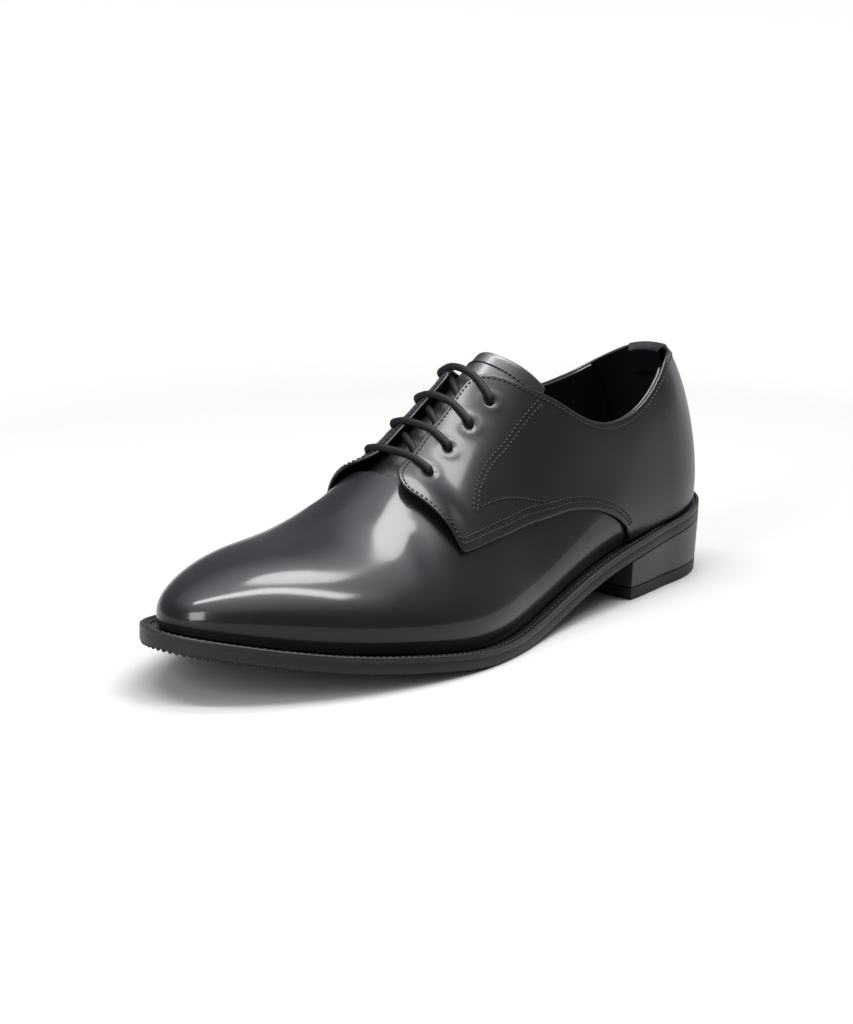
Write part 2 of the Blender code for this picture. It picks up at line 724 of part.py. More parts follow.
def eyelet_cutter(name, side, cutters):
    """Four pins through the facing."""
    work = bmesh.new()
    stations, ups, _ = eyelet_places(side)
    normals = form_normal(stations, ups, side)
    places = form(stations, ups, side)
    for place, normal in zip(places, normals):
        turn = Vector((0.0, 0.0, 1.0)).rotation_difference(Vector(normal)).to_matrix().to_4x4()
        bmesh.ops.create_cone(
            work, cap_ends=True, segments=12, radius1=EYELET_DIAMETER / 2.0,
            radius2=EYELET_DIAMETER / 2.0, depth=0.016, matrix=Matrix.Translation(place) @ turn)
    mesh = bpy.data.meshes.new(name)
    work.to_mesh(mesh)
    work.free()
    cutter = new_object(name, mesh, cutters)
    hide_cutter(cutter)
    return cutter


def add_quarter(name, side, parts, cutters, material):
    stations = shared_stations(back_seam_station(), 0.592)
    grid_station, grid_up = stations[:, None], LEVELS[None, :]
    sheet = offset_form(grid_station, grid_up, side, quarter_offset(grid_station, grid_up))
    sheet[:, 0, 2] += 2.0 * CLEARANCE
    faces = grid_faces(len(stations), len(LEVELS), reverse=side > 0.0)
    mesh = mesh_of(name, sheet.reshape(-1, 3), faces, closed=False)
    piece = new_object(name, mesh, parts, material)
    solidify(piece, QUARTER_WALL, 1.0)
    boolean(piece, eyelet_cutter(name + "_eyelets", side, cutters), "DIFFERENCE")
    boolean(piece, quarter_cutter(name + "_cutter", side, cutters), "INTERSECT")


# Tongue, heel tab and lace

def add_tongue(parts, material):
    shares = np.linspace(0.0, 1.0, 12)
    widths = np.interp(shares, column(TONGUE_WIDTH, TONGUE_WIDTH_COLUMNS, "along"),
                       column(TONGUE_WIDTH, TONGUE_WIDTH_COLUMNS, "out")) * throat_half()
    across = np.linspace(-1.0, 1.0, 15)
    tops = np.interp(np.abs(across), column(TONGUE_TOP, TONGUE_TOP_COLUMNS, "out"),
                     column(TONGUE_TOP, TONGUE_TOP_COLUMNS, "station"))
    sheet = np.zeros((len(shares), len(across), 3))
    for place, (share, top) in enumerate(zip(across, tops)):
        side = 1.0 if share < 0.0 else -1.0
        stations = TONGUE_FRONT + (top - TONGUE_FRONT) * shares
        ups = up_at(stations, abs(share) * widths, side)
        sheet[:, place] = offset_form(stations, ups, side, -(UPPER_WALL + TONGUE_GAP))
    mesh = mesh_of("tongue", sheet.reshape(-1, 3), grid_faces(*sheet.shape[:2]), closed=False)
    piece = new_object("tongue", mesh, parts, material)
    solidify(piece, TONGUE_WALL, -1.0)


def add_heel_tab(parts, material):
    """A strip folded over the collar at the back."""
    half_angle = math.asin((TAB_WIDTH / HEEL_SEAT_WIDTH) ** (HEEL_ROUNDNESS / 2.0))
    reach = HEEL_STATION * half_angle * 2.0 / math.pi
    shared = shared_stations(0.0, reach)
    stations = np.concatenate([-shared[:0:-1], shared])
    outside = 2.0 * CLEARANCE + QUARTER_WALL
    inside = -(UPPER_WALL + 2.0 * CLEARANCE)
    rim_up = np.where(stations < 0.0, topline(-stations, -1.0), topline(stations, 1.0))
    foot = rim_up * (1.0 - TAB_DEPTH / COLLAR_BACK)
    levels = [foot] + [np.full_like(stations, level) for level in LEVELS if foot.max() < level < rim_up.min()]
    over = CLEARANCE + TAB_WALL
    section = [(outside + TAB_WALL, level, 0.0) for level in levels]
    section += [(outside + TAB_WALL, rim_up, over), (inside - TAB_WALL, rim_up, over)]
    section += [(inside - TAB_WALL, level, 0.0) for level in levels[::-1]]
    section += [(inside, level, 0.0) for level in levels]
    section += [(inside, rim_up, CLEARANCE), (outside, rim_up, CLEARANCE)]
    section += [(outside, level, 0.0) for level in levels[::-1]]
    rings = np.zeros((len(stations), len(section), 3))
    for place, (distance, up, rise) in enumerate(section):
        rings[:, place] = offset_form(stations, up, 1.0, distance)
        rings[:, place, 2] += rise
    new_object("heel_tab", loft("heel_tab", rings, True), parts, material)


def lace_route():
    """The lace's middle line: up beneath one facing, then bars above and slants beneath in turn."""
    under = -(UPPER_WALL + TONGUE_GAP) + CLEARANCE + LACE_DIAMETER / 2.0 + 0.0002
    bend = LACE_DIAMETER / 2.0
    eyelets = {side: eyelet_places(side) for side in (1.0, -1.0)}

    def over(lift):
        return lift + QUARTER_WALL + LACE_DIAMETER / 2.0 + 2.0 * CLEARANCE

    def turn(side, row, towards, level, sign):
        """Three points from a level run into the eyelet. sign: 1 above the facing, -1 beneath."""
        station, up, _ = (values[row] for values in eyelets[side])
        place, normal = form(station, up, side), form_normal(station, up, side)
        flat = towards - place
        flat = flat - normal * flat.dot(normal)
        flat = flat / np.linalg.norm(flat)
        return [place + flat * bend + normal * level,
                place + flat * bend * 0.3 + normal * (level - sign * bend * 0.3),
                place + normal * (level - sign * bend)]

    def beside_edge(side, station, inwards, level):
        """A place this far in from the facing's edge. level: above the form, or None for a bar's."""
        up = up_at(station, facing_out(station, side) + inwards, side)
        return offset_form(station, up, side, over(quarter_offset(station, up)) if level is None else level)

    last = len(EYELETS_LATERAL) - 1
    run = [beside_edge(-1.0, station, HIDDEN_RUN, under)
           for station in np.linspace(EYELETS_MEDIAL[last], EYELETS_MEDIAL[0] - 0.014, 9)]
    points = run + turn(-1.0, 0, run[-1], under, -1.0)
    for row in range(last + 1):
        right_station, left_station = eyelets[-1.0][0][row], eyelets[1.0][0][row]
        ahead = left_station - right_station
        bar = [beside_edge(-1.0, right_station + ahead * 0.25, 0.0, None),
               beside_edge(1.0, right_station + ahead * 0.65, 0.0, None)]
        points += turn(-1.0, row, bar[0], over(eyelets[-1.0][2][row]), 1.0)[::-1]
        points += bar
        points += turn(1.0, row, bar[1], over(eyelets[1.0][2][row]), 1.0)
        if row == last:
            points.append(form(left_station, eyelets[1.0][1][row], 1.0)
                          + form_normal(left_station, eyelets[1.0][1][row], 1.0) * under)
            break
        next_station = eyelets[-1.0][0][row + 1]
        edges = eyelets[1.0][1][row], eyelets[-1.0][1][row + 1]
        slant = []
        for share in (0.25, 0.5, 0.75):
            side = 1.0 if share <= 0.5 else -1.0
            edge = edges[0] if side > 0.0 else edges[1]
            up = edge + (1.0 - edge) * (1.0 - abs(2.0 * share - 1.0))
            slant.append(offset_form(left_station + (next_station - left_station) * share, up, side, under))
        points += turn(1.0, row, slant[0], under, -1.0)[::-1]
        points += slant
        points += turn(-1.0, row + 1, slant[-1], under, -1.0)
    return points


def add_lace(parts, material):
    curve = bpy.data.curves.new("lace", "CURVE")
    curve.dimensions = "3D"
    curve.bevel_depth = LACE_DIAMETER / 2.0
    curve.bevel_resolution = 2
    curve.use_fill_caps = True
    route = lace_route()
    line = curve.splines.new("POLY")
    line.points.add(len(route) - 1)
    for point, place in zip(line.points, route):
        point.co = (*place, 1.0)
    curve.materials.append(material)
    parts.objects.link(bpy.data.objects.new("lace", curve))


def new_material(name, colour, roughness, metallic=0.0):
    material = bpy.data.materials.new(name)
    material.use_nodes = True
    shader = material.node_tree.nodes["Principled BSDF"]
    shader.inputs["Base Color"].default_value = (*colour, 1.0)
    shader.inputs["Roughness"].default_value = roughness
    shader.inputs["Metallic"].default_value = metallic
    return material


def main():
    for old in list(bpy.data.objects):
        bpy.data.objects.remove(old, do_unlink=True)
    parts = bpy.data.collections.new("derby_shoe")
    cutters = bpy.data.collections.new("cutters")
    bpy.context.scene.collection.children.link(parts)
    bpy.context.scene.collection.children.link(cutters)

    add_outsole(parts, new_material("outsole_rubber", (0.030, 0.030, 0.031), 0.55))
    add_welt(parts, new_material("welt_leather", (0.022, 0.021, 0.021), 0.35))
    add_heel(parts, new_material("heel_edge", (0.024, 0.024, 0.025), 0.30))
    add_top_lift(parts, new_material("top_lift_rubber", (0.020, 0.020, 0.021), 0.60))
    add_insole(parts, new_material("insole_leather", (0.045, 0.042, 0.040), 0.55))
    opening = opening_cutter(cutters)
    add_upper(parts, new_material("vamp_leather", (0.018, 0.018, 0.019), 0.18), opening)
    quarter_leather = new_material("quarter_leather", (0.018, 0.018, 0.019), 0.20)
    add_quarter("quarter_lateral", 1.0, parts, cutters, quarter_leather)
    add_quarter("quarter_medial", -1.0, parts, cutters, quarter_leather)
    add_tongue(parts, new_material("tongue_leather", (0.020, 0.020, 0.021), 0.28))
    add_heel_tab(parts, new_material("tab_leather", (0.018, 0.018, 0.019), 0.25))
    add_lace(parts, new_material("lace_cotton", (0.022, 0.022, 0.023), 0.60))


main()
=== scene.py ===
"""The looks of a left derby shoe in polished black leather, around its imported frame.

Each visible piece repeats the form of the part: the same named sizes, tables and formulas, in metres,
with finer points, folded edges, stitching and leather.
"""

import math

import bmesh
import bpy
import numpy as np
from mathutils import Matrix, Vector
from mathutils.kdtree import KDTree


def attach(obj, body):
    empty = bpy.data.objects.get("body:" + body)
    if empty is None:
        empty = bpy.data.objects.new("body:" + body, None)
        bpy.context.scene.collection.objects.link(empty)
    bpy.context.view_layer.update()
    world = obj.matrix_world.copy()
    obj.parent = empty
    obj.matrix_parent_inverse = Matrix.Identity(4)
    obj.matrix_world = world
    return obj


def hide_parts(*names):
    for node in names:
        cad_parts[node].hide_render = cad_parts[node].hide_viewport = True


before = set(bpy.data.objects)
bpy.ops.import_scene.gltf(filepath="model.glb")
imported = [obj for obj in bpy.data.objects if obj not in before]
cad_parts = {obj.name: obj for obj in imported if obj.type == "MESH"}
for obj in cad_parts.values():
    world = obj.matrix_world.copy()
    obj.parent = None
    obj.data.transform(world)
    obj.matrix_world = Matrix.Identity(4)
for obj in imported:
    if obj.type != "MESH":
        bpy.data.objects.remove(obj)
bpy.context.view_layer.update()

# The form: the upper's outer face
FORM_LENGTH = 0.2945  # heel point to toe point, along the feather line
BALL_WIDTH = 0.0940  # feather line's width at the ball
HEEL_SEAT_WIDTH = 0.0568  # feather line's width at the heel
COLLAR_BACK = 0.0660  # collar above the feather line at the back
INSTEP_HEIGHT = 0.0825  # ridge above the feather line at the top eyelets
TOE_HEIGHT = 0.0300  # ridge above the feather line at the toes
TOE_SWING = 0.0050  # how far the toe point lies to the big toe's side
SIDE_BULGE = 0.0038  # how far the side swells out over the feather line
BULGE_HEIGHT = 0.0130  # height of that swelling above the feather line
BACK_PITCH = 0.0080  # how far the back leans forward at the collar

# Sole and heel
TOE_WELT = 0.0062  # welt showing at the toe
SIDE_WELT = 0.0058  # welt showing at the ball and the waist
HEEL_RAND = 0.0040  # rand showing round the heel
OUTSOLE_THICKNESS = 0.0040
WELT_THICKNESS = 0.0020
HEEL_HEIGHT = 0.0251  # floor to the outsole's underside at the back
SEAT_DROP = 0.0085  # how much lower the underside is at the breast
TOE_SPRING = 0.0175  # underside of the toe point above the floor
HEEL_LENGTH = 0.0780  # back of the heel to the top of the breast
HEEL_TAPER = 0.0008  # the heel's foot is this much smaller all round
TOP_LIFT_THICKNESS = 0.0050

# Upper
UPPER_WALL = 0.0015
QUARTER_WALL = 0.0013
FACING_GAP = 0.0115  # between the facings at the top eyelets
THROAT_MARGIN = 0.0150  # the throat's edge lies this far under the facings
FACING_LIFT = 0.0030  # how far the facing's front corner stands off the vamp
TONGUE_WALL = 0.0022
TONGUE_GAP = 0.0022  # between the upper's inner face and the tongue
TAB_WIDTH = 0.0240
TAB_DEPTH = 0.0150  # how far the heel tab reaches down each face
CLEARANCE = 0.0003  # between neighbours that touch

# Lacing
LACE_DIAMETER = 0.0030
EYELET_DIAMETER = 0.0040
EYELET_MARGIN = 0.0098  # eyelet's middle to the facing's edge, little toe's side
EYELET_MARGIN_MEDIAL = 0.0065  # the same on the big toe's side
HIDDEN_RUN = 0.0105  # how far in from the facing's edge the lace's hidden run lies
LACE_SEAT = -0.0001  # how far over the facing the lace lies
LACE_PRESS = 0.0009  # and how much deeper it presses into the facing's edge
LACE_UNDER_GAP = 0.0002  # between the tongue's own clearance and the lace beneath the facings
HIDDEN_STOP = 0.014  # the hidden run ends this many stations behind the bottom eyelet

# Shares of the form's length, from the heel
HEEL_CENTRE = 0.135  # where the heel's round end begins
TOE_CENTRE = 0.700  # where the toe's round end begins
HEEL_ROUNDNESS = 2.25  # exponent of the heel's round end: 2 is an ellipse
TOE_ROUNDNESS = 2.25
CONE_TO_COLLAR = 1.36  # the form's own top over the heel, as a share of COLLAR_BACK

# Stations count along the form: 0 heel point, 1 toe point, with the round ends turned through here
HEEL_STATION = 0.17
TOE_STATION = 0.62

# The form's sections, from heel to toe. along: share of FORM_LENGTH. half: half width of the feather
# line, as a share of half the width there. middle: where its middle lies, as a share of
# BALL_WIDTH / 2. height: ridge above the feather line, as a share of the height there. side and top:
# exponents of the section, where larger is squarer. lean: how far the ridge leans to the little
# toe's side, as a share of BALL_WIDTH / 2. bulge: share of SIDE_BULGE.
SECTION_COLUMNS = ("along", "half", "middle", "height", "side", "top", "lean", "bulge")
SECTIONS = (
    (0.00, 0.980, 0.000, 1.000, 2.10, 2.30, 0.000, 0.10),
    (0.14, 1.005, 0.000, 1.000, 2.10, 2.30, 0.000, 0.20),
    (0.26, 0.995, 0.037, 1.060, 2.05, 2.25, -0.069, 0.55),
    (0.38, 0.806, 0.094, 1.190, 2.00, 2.15, -0.155, 0.90),
    (0.50, 0.764, 0.109, 1.000, 2.00, 2.05, -0.226, 1.00),
    (0.60, 0.895, 0.082, 0.825, 2.05, 2.00, -0.201, 1.00),
    (0.68, 0.973, 0.031, 0.805, 2.10, 2.00, -0.117, 1.00),
    (0.76, 0.965, -0.022, 0.902, 2.20, 2.10, -0.042, 0.95),
    (0.85, 0.893, -0.044, 1.109, 2.35, 2.20, -0.020, 0.75),
    (0.93, 0.789, -0.055, 1.000, 2.45, 2.30, 0.000, 0.50),
    (1.00, 0.672, -0.070, 0.823, 2.50, 2.40, 0.020, 0.35),
)

# The outsole's underside. along: share of FORM_LENGTH. back, breast and toe: shares of HEEL_HEIGHT,
# of the underside's height at the breast and of TOE_SPRING, which add up.
UNDERSIDE_COLUMNS = ("along", "back", "breast", "toe")
UNDERSIDE = (
    (0.000, 1.00, 0.000, 0.000),
    (0.130, 0.49, 0.510, 0.000),
    (0.254, 0.00, 1.000, 0.000),
    (0.360, 0.00, 0.615, 0.000),
    (0.450, 0.00, 0.230, 0.000),
    (0.520, 0.00, 0.035, 0.000),
    (0.555, 0.00, 0.000, 0.000),
    (0.605, 0.00, 0.000, 0.000),
    (0.660, 0.00, 0.000, 0.070),
    (0.720, 0.00, 0.000, 0.195),
    (0.850, 0.00, 0.000, 0.500),
    (1.000, 0.00, 0.000, 1.000),
)
TREAD = (0.550, 0.610)  # the forepart's flat spot lies between these shares

# The collar's edge. station: from the heel point. lateral and medial: share of the way up the
# section, from the feather line to the ridge.
TOPLINE_COLUMNS = ("station", "lateral", "medial")
TOPLINE = (
    (0.000, 0.480, 0.480),
    (0.040, 0.486, 0.464),
    (0.080, 0.491, 0.433),
    (0.120, 0.488, 0.402),
    (0.150, 0.458, 0.384),
    (0.180, 0.401, 0.376),
    (0.217, 0.351, 0.371),
    (0.261, 0.328, 0.374),
    (0.289, 0.334, 0.383),
    (0.317, 0.361, 0.401),
    (0.346, 0.421, 0.441),
    (0.372, 0.502, 0.515),
    (0.403, 0.642, 0.650),
    (0.425, 0.803, 0.805),
)

# The quarter's outline as ribs from the front edge to the back. low: on the lower seam. high: on the
# facing's edge. station: along the form. up: share of the way up the section. out: distance from
# the ridge as a share of FACING_GAP.
FACING_COLUMNS = ("low_station", "low_up", "high_station", "high_out")
FACING_RIBS = (
    (0.565, 0.398, 0.578, 1.55),
    (0.559, 0.391, 0.574, 1.12),
    (0.550, 0.380, 0.564, 0.80),
    (0.532, 0.360, 0.541, 0.64),
    (0.508, 0.333, 0.509, 0.55),
    (0.476, 0.296, 0.473, 0.51),
    (0.444, 0.259, 0.443, 0.47),
)
# How much nearer the heel the quarter's front edge lies on the big toe's side, in stations
MEDIAL_SET_BACK = 0.0165
# The same ribs further back, with high on the topline
COLLAR_RIB_COLUMNS = ("low_station", "low_up", "high_station")
COLLAR_RIBS = (
    (0.428, 0.238, 0.427),
    (0.405, 0.210, 0.403),
    (0.378, 0.184, 0.372),
    (0.348, 0.151, 0.346),
    (0.318, 0.120, 0.317),
    (0.292, 0.086, 0.289),
    (0.266, 0.040, 0.257),
    (0.244, -0.020, 0.228),
    (0.200, -0.020, 0.196),
    (0.170, -0.020, 0.170),
    (0.000, -0.020, 0.000),
)

# Stations of the eyelets, from the toe's end to the top
EYELETS_LATERAL = (0.542, 0.507, 0.473, 0.440)
EYELETS_MEDIAL = (0.533, 0.497, 0.461, 0.426)

# The tongue's width. along: share of the way from its front edge to its top. out: half width as a
# share of the throat's own.
TONGUE_WIDTH_COLUMNS = ("along", "out")
TONGUE_WIDTH = ((0.00, 0.70), (0.12, 0.95), (0.30, 1.14), (0.60, 1.20), (0.85, 1.16), (1.00, 1.02))
TONGUE_TOP = 0.405  # station of its top edge on the ridge
TONGUE_CORNER = 0.364  # and at its sides
TONGUE_TOP_CURVE = 2.2
TONGUE_FRONT = 0.584


def column(rows, columns, name):
    """One named column of a table."""
    place = columns.index(name)
    return np.array([row[place] for row in rows], dtype=float)


def spline(xs, ys):
    """Smooth curve through the points, straight beyond both ends."""
    xs = np.asarray(xs, dtype=float)
    ys = np.asarray(ys, dtype=float)
    count = len(xs)
    step = np.diff(xs)
    matrix = np.zeros((count, count))
    right = np.zeros(count)
    matrix[0, 0] = matrix[-1, -1] = 1.0
    for i in range(1, count - 1):
        matrix[i, i - 1:i + 2] = step[i - 1], 2.0 * (step[i - 1] + step[i]), step[i]
        right[i] = 6.0 * ((ys[i + 1] - ys[i]) / step[i] - (ys[i] - ys[i - 1]) / step[i - 1])
    bend = np.linalg.solve(matrix, right)

    def value(x):
        x = np.asarray(x, dtype=float)
        held = np.clip(x, xs[0], xs[-1])
        i = np.clip(np.searchsorted(xs, held) - 1, 0, count - 2)
        before, after = held - xs[i], xs[i + 1] - held
        result = (bend[i] * after ** 3 + bend[i + 1] * before ** 3) / (6.0 * step[i])
        result += (ys[i] / step[i] - bend[i] * step[i] / 6.0) * after
        result += (ys[i + 1] / step[i] - bend[i + 1] * step[i] / 6.0) * before
        first = (ys[1] - ys[0]) / step[0] - bend[1] * step[0] / 6.0
        last = (ys[-1] - ys[-2]) / step[-1] + bend[-2] * step[-1] / 6.0
        return result + np.where(x < xs[0], (x - xs[0]) * first, 0.0) + np.where(
            x > xs[-1], (x - xs[-1]) * last, 0.0)

    return value


def ease(x, start, end):
    """0 before start, 1 after end, smooth between."""
    t = np.clip((np.asarray(x, dtype=float) - start) / (end - start), 0.0, 1.0)
    return t ** 3 * (t * (6.0 * t - 15.0) + 10.0)


SECTION = {
    name: spline(column(SECTIONS, SECTION_COLUMNS, "along"), column(SECTIONS, SECTION_COLUMNS, name))
    for name in SECTION_COLUMNS[1:]
}
BREAST_HEIGHT = HEEL_HEIGHT - SEAT_DROP
UNDERSIDE_CURVE = spline(
    column(UNDERSIDE, UNDERSIDE_COLUMNS, "along"),
    column(UNDERSIDE, UNDERSIDE_COLUMNS, "back") * HEEL_HEIGHT
    + column(UNDERSIDE, UNDERSIDE_COLUMNS, "breast") * BREAST_HEIGHT
    + column(UNDERSIDE, UNDERSIDE_COLUMNS, "toe") * TOE_SPRING,
)
BACK_X = HEEL_RAND - HEEL_LENGTH / 2.0  # the form's heel point


def half_width(along):
    """Half width of the feather line, before the round ends."""
    width = HEEL_SEAT_WIDTH + (BALL_WIDTH - HEEL_SEAT_WIDTH) * ease(along, 0.2, 0.6)
    return SECTION["half"](along) * width / 2.0


def middle(along):
    """Where the feather line's middle lies."""
    swing = TOE_SWING * np.clip((along - 0.55) / 0.45, 0.0, 1.0) ** 2
    return SECTION["middle"](along) * BALL_WIDTH / 2.0 - swing


def ridge_height(along):
    """Ridge above the feather line."""
    cone = COLLAR_BACK * CONE_TO_COLLAR
    height = cone + (INSTEP_HEIGHT - cone) * ease(along, 0.2, 0.5)
    height = height + (TOE_HEIGHT - INSTEP_HEIGHT) * ease(along, 0.5, 0.9)
    return SECTION["height"](along) * height


def along_of(x):
    return (np.asarray(x, dtype=float) - BACK_X) / FORM_LENGTH


def underside(along):
    """Smooth height of the outsole's underside."""
    return UNDERSIDE_CURVE(along)


def feather_height(along):
    """Height of the upper's lower edge."""
    return underside(along) + OUTSOLE_THICKNESS + WELT_THICKNESS + 2.0 * CLEARANCE


def station_of(along):
    """Station of a place between the round ends."""
    share = (np.asarray(along, dtype=float) - HEEL_CENTRE) / (TOE_CENTRE - HEEL_CENTRE)
    return HEEL_STATION + share * (TOE_STATION - HEEL_STATION)


def plan(station, out):
    """Place in plan: share along and share of the half width, out from the spine."""
    heel = np.clip(station / HEEL_STATION, 0.0, 1.0) * math.pi / 2.0
    toe = np.clip((1.0 - station) / (1.0 - TOE_STATION), 0.0, 1.0) * math.pi / 2.0
    run = HEEL_CENTRE + (TOE_CENTRE - HEEL_CENTRE) * (station - HEEL_STATION) / (
        TOE_STATION - HEEL_STATION)
    back = HEEL_CENTRE * (1.0 - out * np.abs(np.cos(heel)) ** (2.0 / HEEL_ROUNDNESS))
    front = TOE_CENTRE + (1.0 - TOE_CENTRE) * out * np.abs(np.cos(toe)) ** (2.0 / TOE_ROUNDNESS)
    along = np.where(station < HEEL_STATION, back, np.where(station > TOE_STATION, front, run))
    aside = np.where(station < HEEL_STATION, np.abs(np.sin(heel)) ** (2.0 / HEEL_ROUNDNESS), 1.0)
    aside = np.where(station > TOE_STATION, np.abs(np.sin(toe)) ** (2.0 / TOE_ROUNDNESS), aside)
    return along, out * aside


def raw_form(station, up, side):
    """Point of the form. up: 0 feather line, 1 ridge. side: 1 little toe, -1 big toe."""
    edge_along, _ = plan(station, 1.0)
    turn = up * math.pi / 2.0
    out = np.abs(np.cos(turn)) ** (2.0 / SECTION["side"](edge_along))
    rise = np.abs(np.sin(turn)) ** (2.0 / SECTION["top"](edge_along))
    along, aside = plan(station, out)
    height = ridge_height(along) * rise
    y = middle(along) + side * aside * half_width(along)
    y = y + SECTION["lean"](along) * BALL_WIDTH / 2.0 * rise
    z = feather_height(along) + height
    normal_x, normal_y = plan_normal(station, side)
    swell = height / BULGE_HEIGHT
    bulge = SIDE_BULGE * SECTION["bulge"](edge_along) * (swell * np.exp(1.0 - swell)) ** 2
    bulge = bulge * (1.0 - up ** 4)
    pitch = BACK_PITCH * (height / COLLAR_BACK) ** 2 * (1.0 - ease(along, 0.0, 0.4))
    x = BACK_X + along * FORM_LENGTH + normal_x * bulge + pitch
    return np.stack(np.broadcast_arrays(x, y + normal_y * bulge, z), axis=-1)


def plan_normal(station, side):
    """Direction out of the feather line in plan."""
    step = 1.0e-4
    before, after = feather(station - step, side), feather(station + step, side)
    run_x, run_y = after[0] - before[0], after[1] - before[1]
    length = np.hypot(run_x, run_y) + 1.0e-12
    return -run_y * side / length, run_x * side / length


def feather(station, side):
    """The feather line in plan, also a little past its ends, onto the other side."""
    side = side * np.where((station < 0.0) | (station > 1.0), -1.0, 1.0)
    along, aside = plan(np.where(station > 1.0, 2.0 - station, np.abs(station)), 1.0)
    return BACK_X + along * FORM_LENGTH, middle(along) + side * aside * half_width(along)


def same_shape(*values):
    """The values as arrays of one shape."""
    return np.broadcast_arrays(*[np.asarray(value, dtype=float) for value in values])


def form(station, up, side):
    """The form, also a little past its heel point, toe point and ridge, onto the other side."""
    station, up, side = same_shape(station, up, side)
    flip = np.where((station < 0.0) ^ (station > 1.0) ^ (up > 1.0), -1.0, 1.0)
    station = np.where(station > 1.0, 2.0 - station, np.abs(station))
    up = np.clip(np.where(up > 1.0, 2.0 - up, up), 0.0, 1.0)
    return raw_form(station, up, side * flip)


def form_normal(station, up, side):
    """Direction out of the form."""
    step = 2.0e-3
    station, up, side = same_shape(station, up, side)
    turning = (np.abs(station) < HEEL_STATION) | (station > TOE_STATION)
    up = np.where(turning, np.minimum(up, 0.98), up)
    along_run = form(station + step, up, side) - form(station - step, up, side)
    up_run = form(station, up + step, side) - form(station, np.maximum(up - step, 0.0), side)
    normal = np.cross(along_run, up_run) * -side[..., None]
    return normal / (np.linalg.norm(normal, axis=-1, keepdims=True) + 1.0e-15)


def offset_form(station, up, side, distance):
    """The form moved out by a distance."""
    distance = np.asarray(distance, dtype=float)[..., None]
    return form(station, up, side) + form_normal(station, up, side) * distance


def up_at(station, distance, side):
    """Share of the way up where the form lies this far from its ridge, seen from above."""
    station, distance = np.broadcast_arrays(station, distance)
    low, high = np.zeros(station.shape), np.ones(station.shape)
    ridge = form(station, 1.0, side)[..., 1]
    for _ in range(30):
        share = (low + high) / 2.0
        beyond = np.abs(form(station, share, side)[..., 1] - ridge) > distance
        low, high = np.where(beyond, share, low), np.where(beyond, high, share)
    return (low + high) / 2.0


# Outlines on the upper

def topline(station, side):
    """The collar's edge, as a share of the way up the section."""
    name = "lateral" if side > 0.0 else "medial"
    edge = spline(column(TOPLINE, TOPLINE_COLUMNS, "station"), column(TOPLINE, TOPLINE_COLUMNS, name))
    return np.where(station > TOPLINE[-1][0] + 0.004, 1.0, np.minimum(edge(station), 1.0))


def facing_ribs(side):
    """Named columns of the facing's ribs on one side."""
    ribs = {name: column(FACING_RIBS, FACING_COLUMNS, name) for name in FACING_COLUMNS}
    if side < 0.0:
        for name in ("low_station", "high_station"):
            ribs[name] = ribs[name] - MEDIAL_SET_BACK * ease(ribs[name], 0.45, 0.54)
    return ribs


def facing_out(station, side):
    """The facing's edge: its distance from the ridge."""
    ribs = facing_ribs(side)
    return np.interp(station, ribs["high_station"][::-1], ribs["high_out"][::-1]) * FACING_GAP


def throat_half():
    return FACING_GAP / 2.0 + THROAT_MARGIN


def collar_stations():
    """Stations from the facing's top corner back to the heel point."""
    heel = np.linspace(HEEL_STATION, 0.0, 12)
    return np.concatenate([np.linspace(COLLAR_RIBS[0][2], HEEL_STATION, 24), heel[1:]])


def back_seam_station():
    """Station where the quarters stop short of the back seam."""
    share = CLEARANCE / HEEL_SEAT_WIDTH
    return HEEL_STATION * 2.0 / math.pi * math.asin(share ** (HEEL_ROUNDNESS / 2.0))


# The quarters' form and the sole's outline

LIFT_STATIONS = (0.528, 0.576)  # the facing starts to stand off the vamp, and does so in full
LIFT_UPS = (0.30, 0.62)  # the same up the section
DIMPLE_DEPTH = 0.0006  # how deep the leather is drawn in at an eyelet
DIMPLE_REACH = 0.0017
DIMPLE_RIM = 0.0002  # height of the slight swelling round a dimple
# The eyelet holes are not cut: a near-black disc of painted shade stands in for the shaded inside of each.
HOLE_SHADE_LIFT = 0.0002  # the dark disc of painted shade at each eyelet hole lies this far over its dimple's deepest point
HOLE_SHADE_CORNERS = 24


def quarter_offset(station, up):
    """How far the quarter's inner face stands off the form."""
    return CLEARANCE + FACING_LIFT * ease(station, *LIFT_STATIONS) * ease(up, *LIFT_UPS)


def quarter_ribs(side):
    """Ends of the quarter's ribs: stations and shares of the way up, low and high."""
    rows = COLLAR_RIBS[::-1]
    high = column(rows, COLLAR_RIB_COLUMNS, "high_station")
    seam_station = spline(high, column(rows, COLLAR_RIB_COLUMNS, "low_station"))
    seam_up = column(rows, COLLAR_RIB_COLUMNS, "low_up")
    back = np.maximum(collar_stations(), back_seam_station())
    low_back = np.maximum(seam_station(back), back_seam_station())
    ribs = facing_ribs(side)
    front = ribs["high_station"]
    low_station = np.concatenate([ribs["low_station"], low_back])
    low_up = np.concatenate([ribs["low_up"], np.interp(back, high, seam_up)])
    high_up = np.concatenate([up_at(front, ribs["high_out"] * FACING_GAP, side), topline(back, side)])
    return low_station, low_up, np.concatenate([front, back]), high_up


def eyelet_places(side):
    """Each eyelet's station, share of the way up and the quarter's inner offset there."""
    stations = np.array(EYELETS_LATERAL if side > 0.0 else EYELETS_MEDIAL)
    margin = EYELET_MARGIN if side > 0.0 else EYELET_MARGIN_MEDIAL
    ups = up_at(stations, facing_out(stations, side) + margin, side)
    return stations, ups, quarter_offset(stations, ups)


def sole_margin(station):
    """How far the sole's edge lies outside the feather line."""
    side = HEEL_RAND + (SIDE_WELT - HEEL_RAND) * ease(station, 0.15, 0.27)
    return side + (TOE_WELT - SIDE_WELT) * ease(station, 0.6, 1.0)


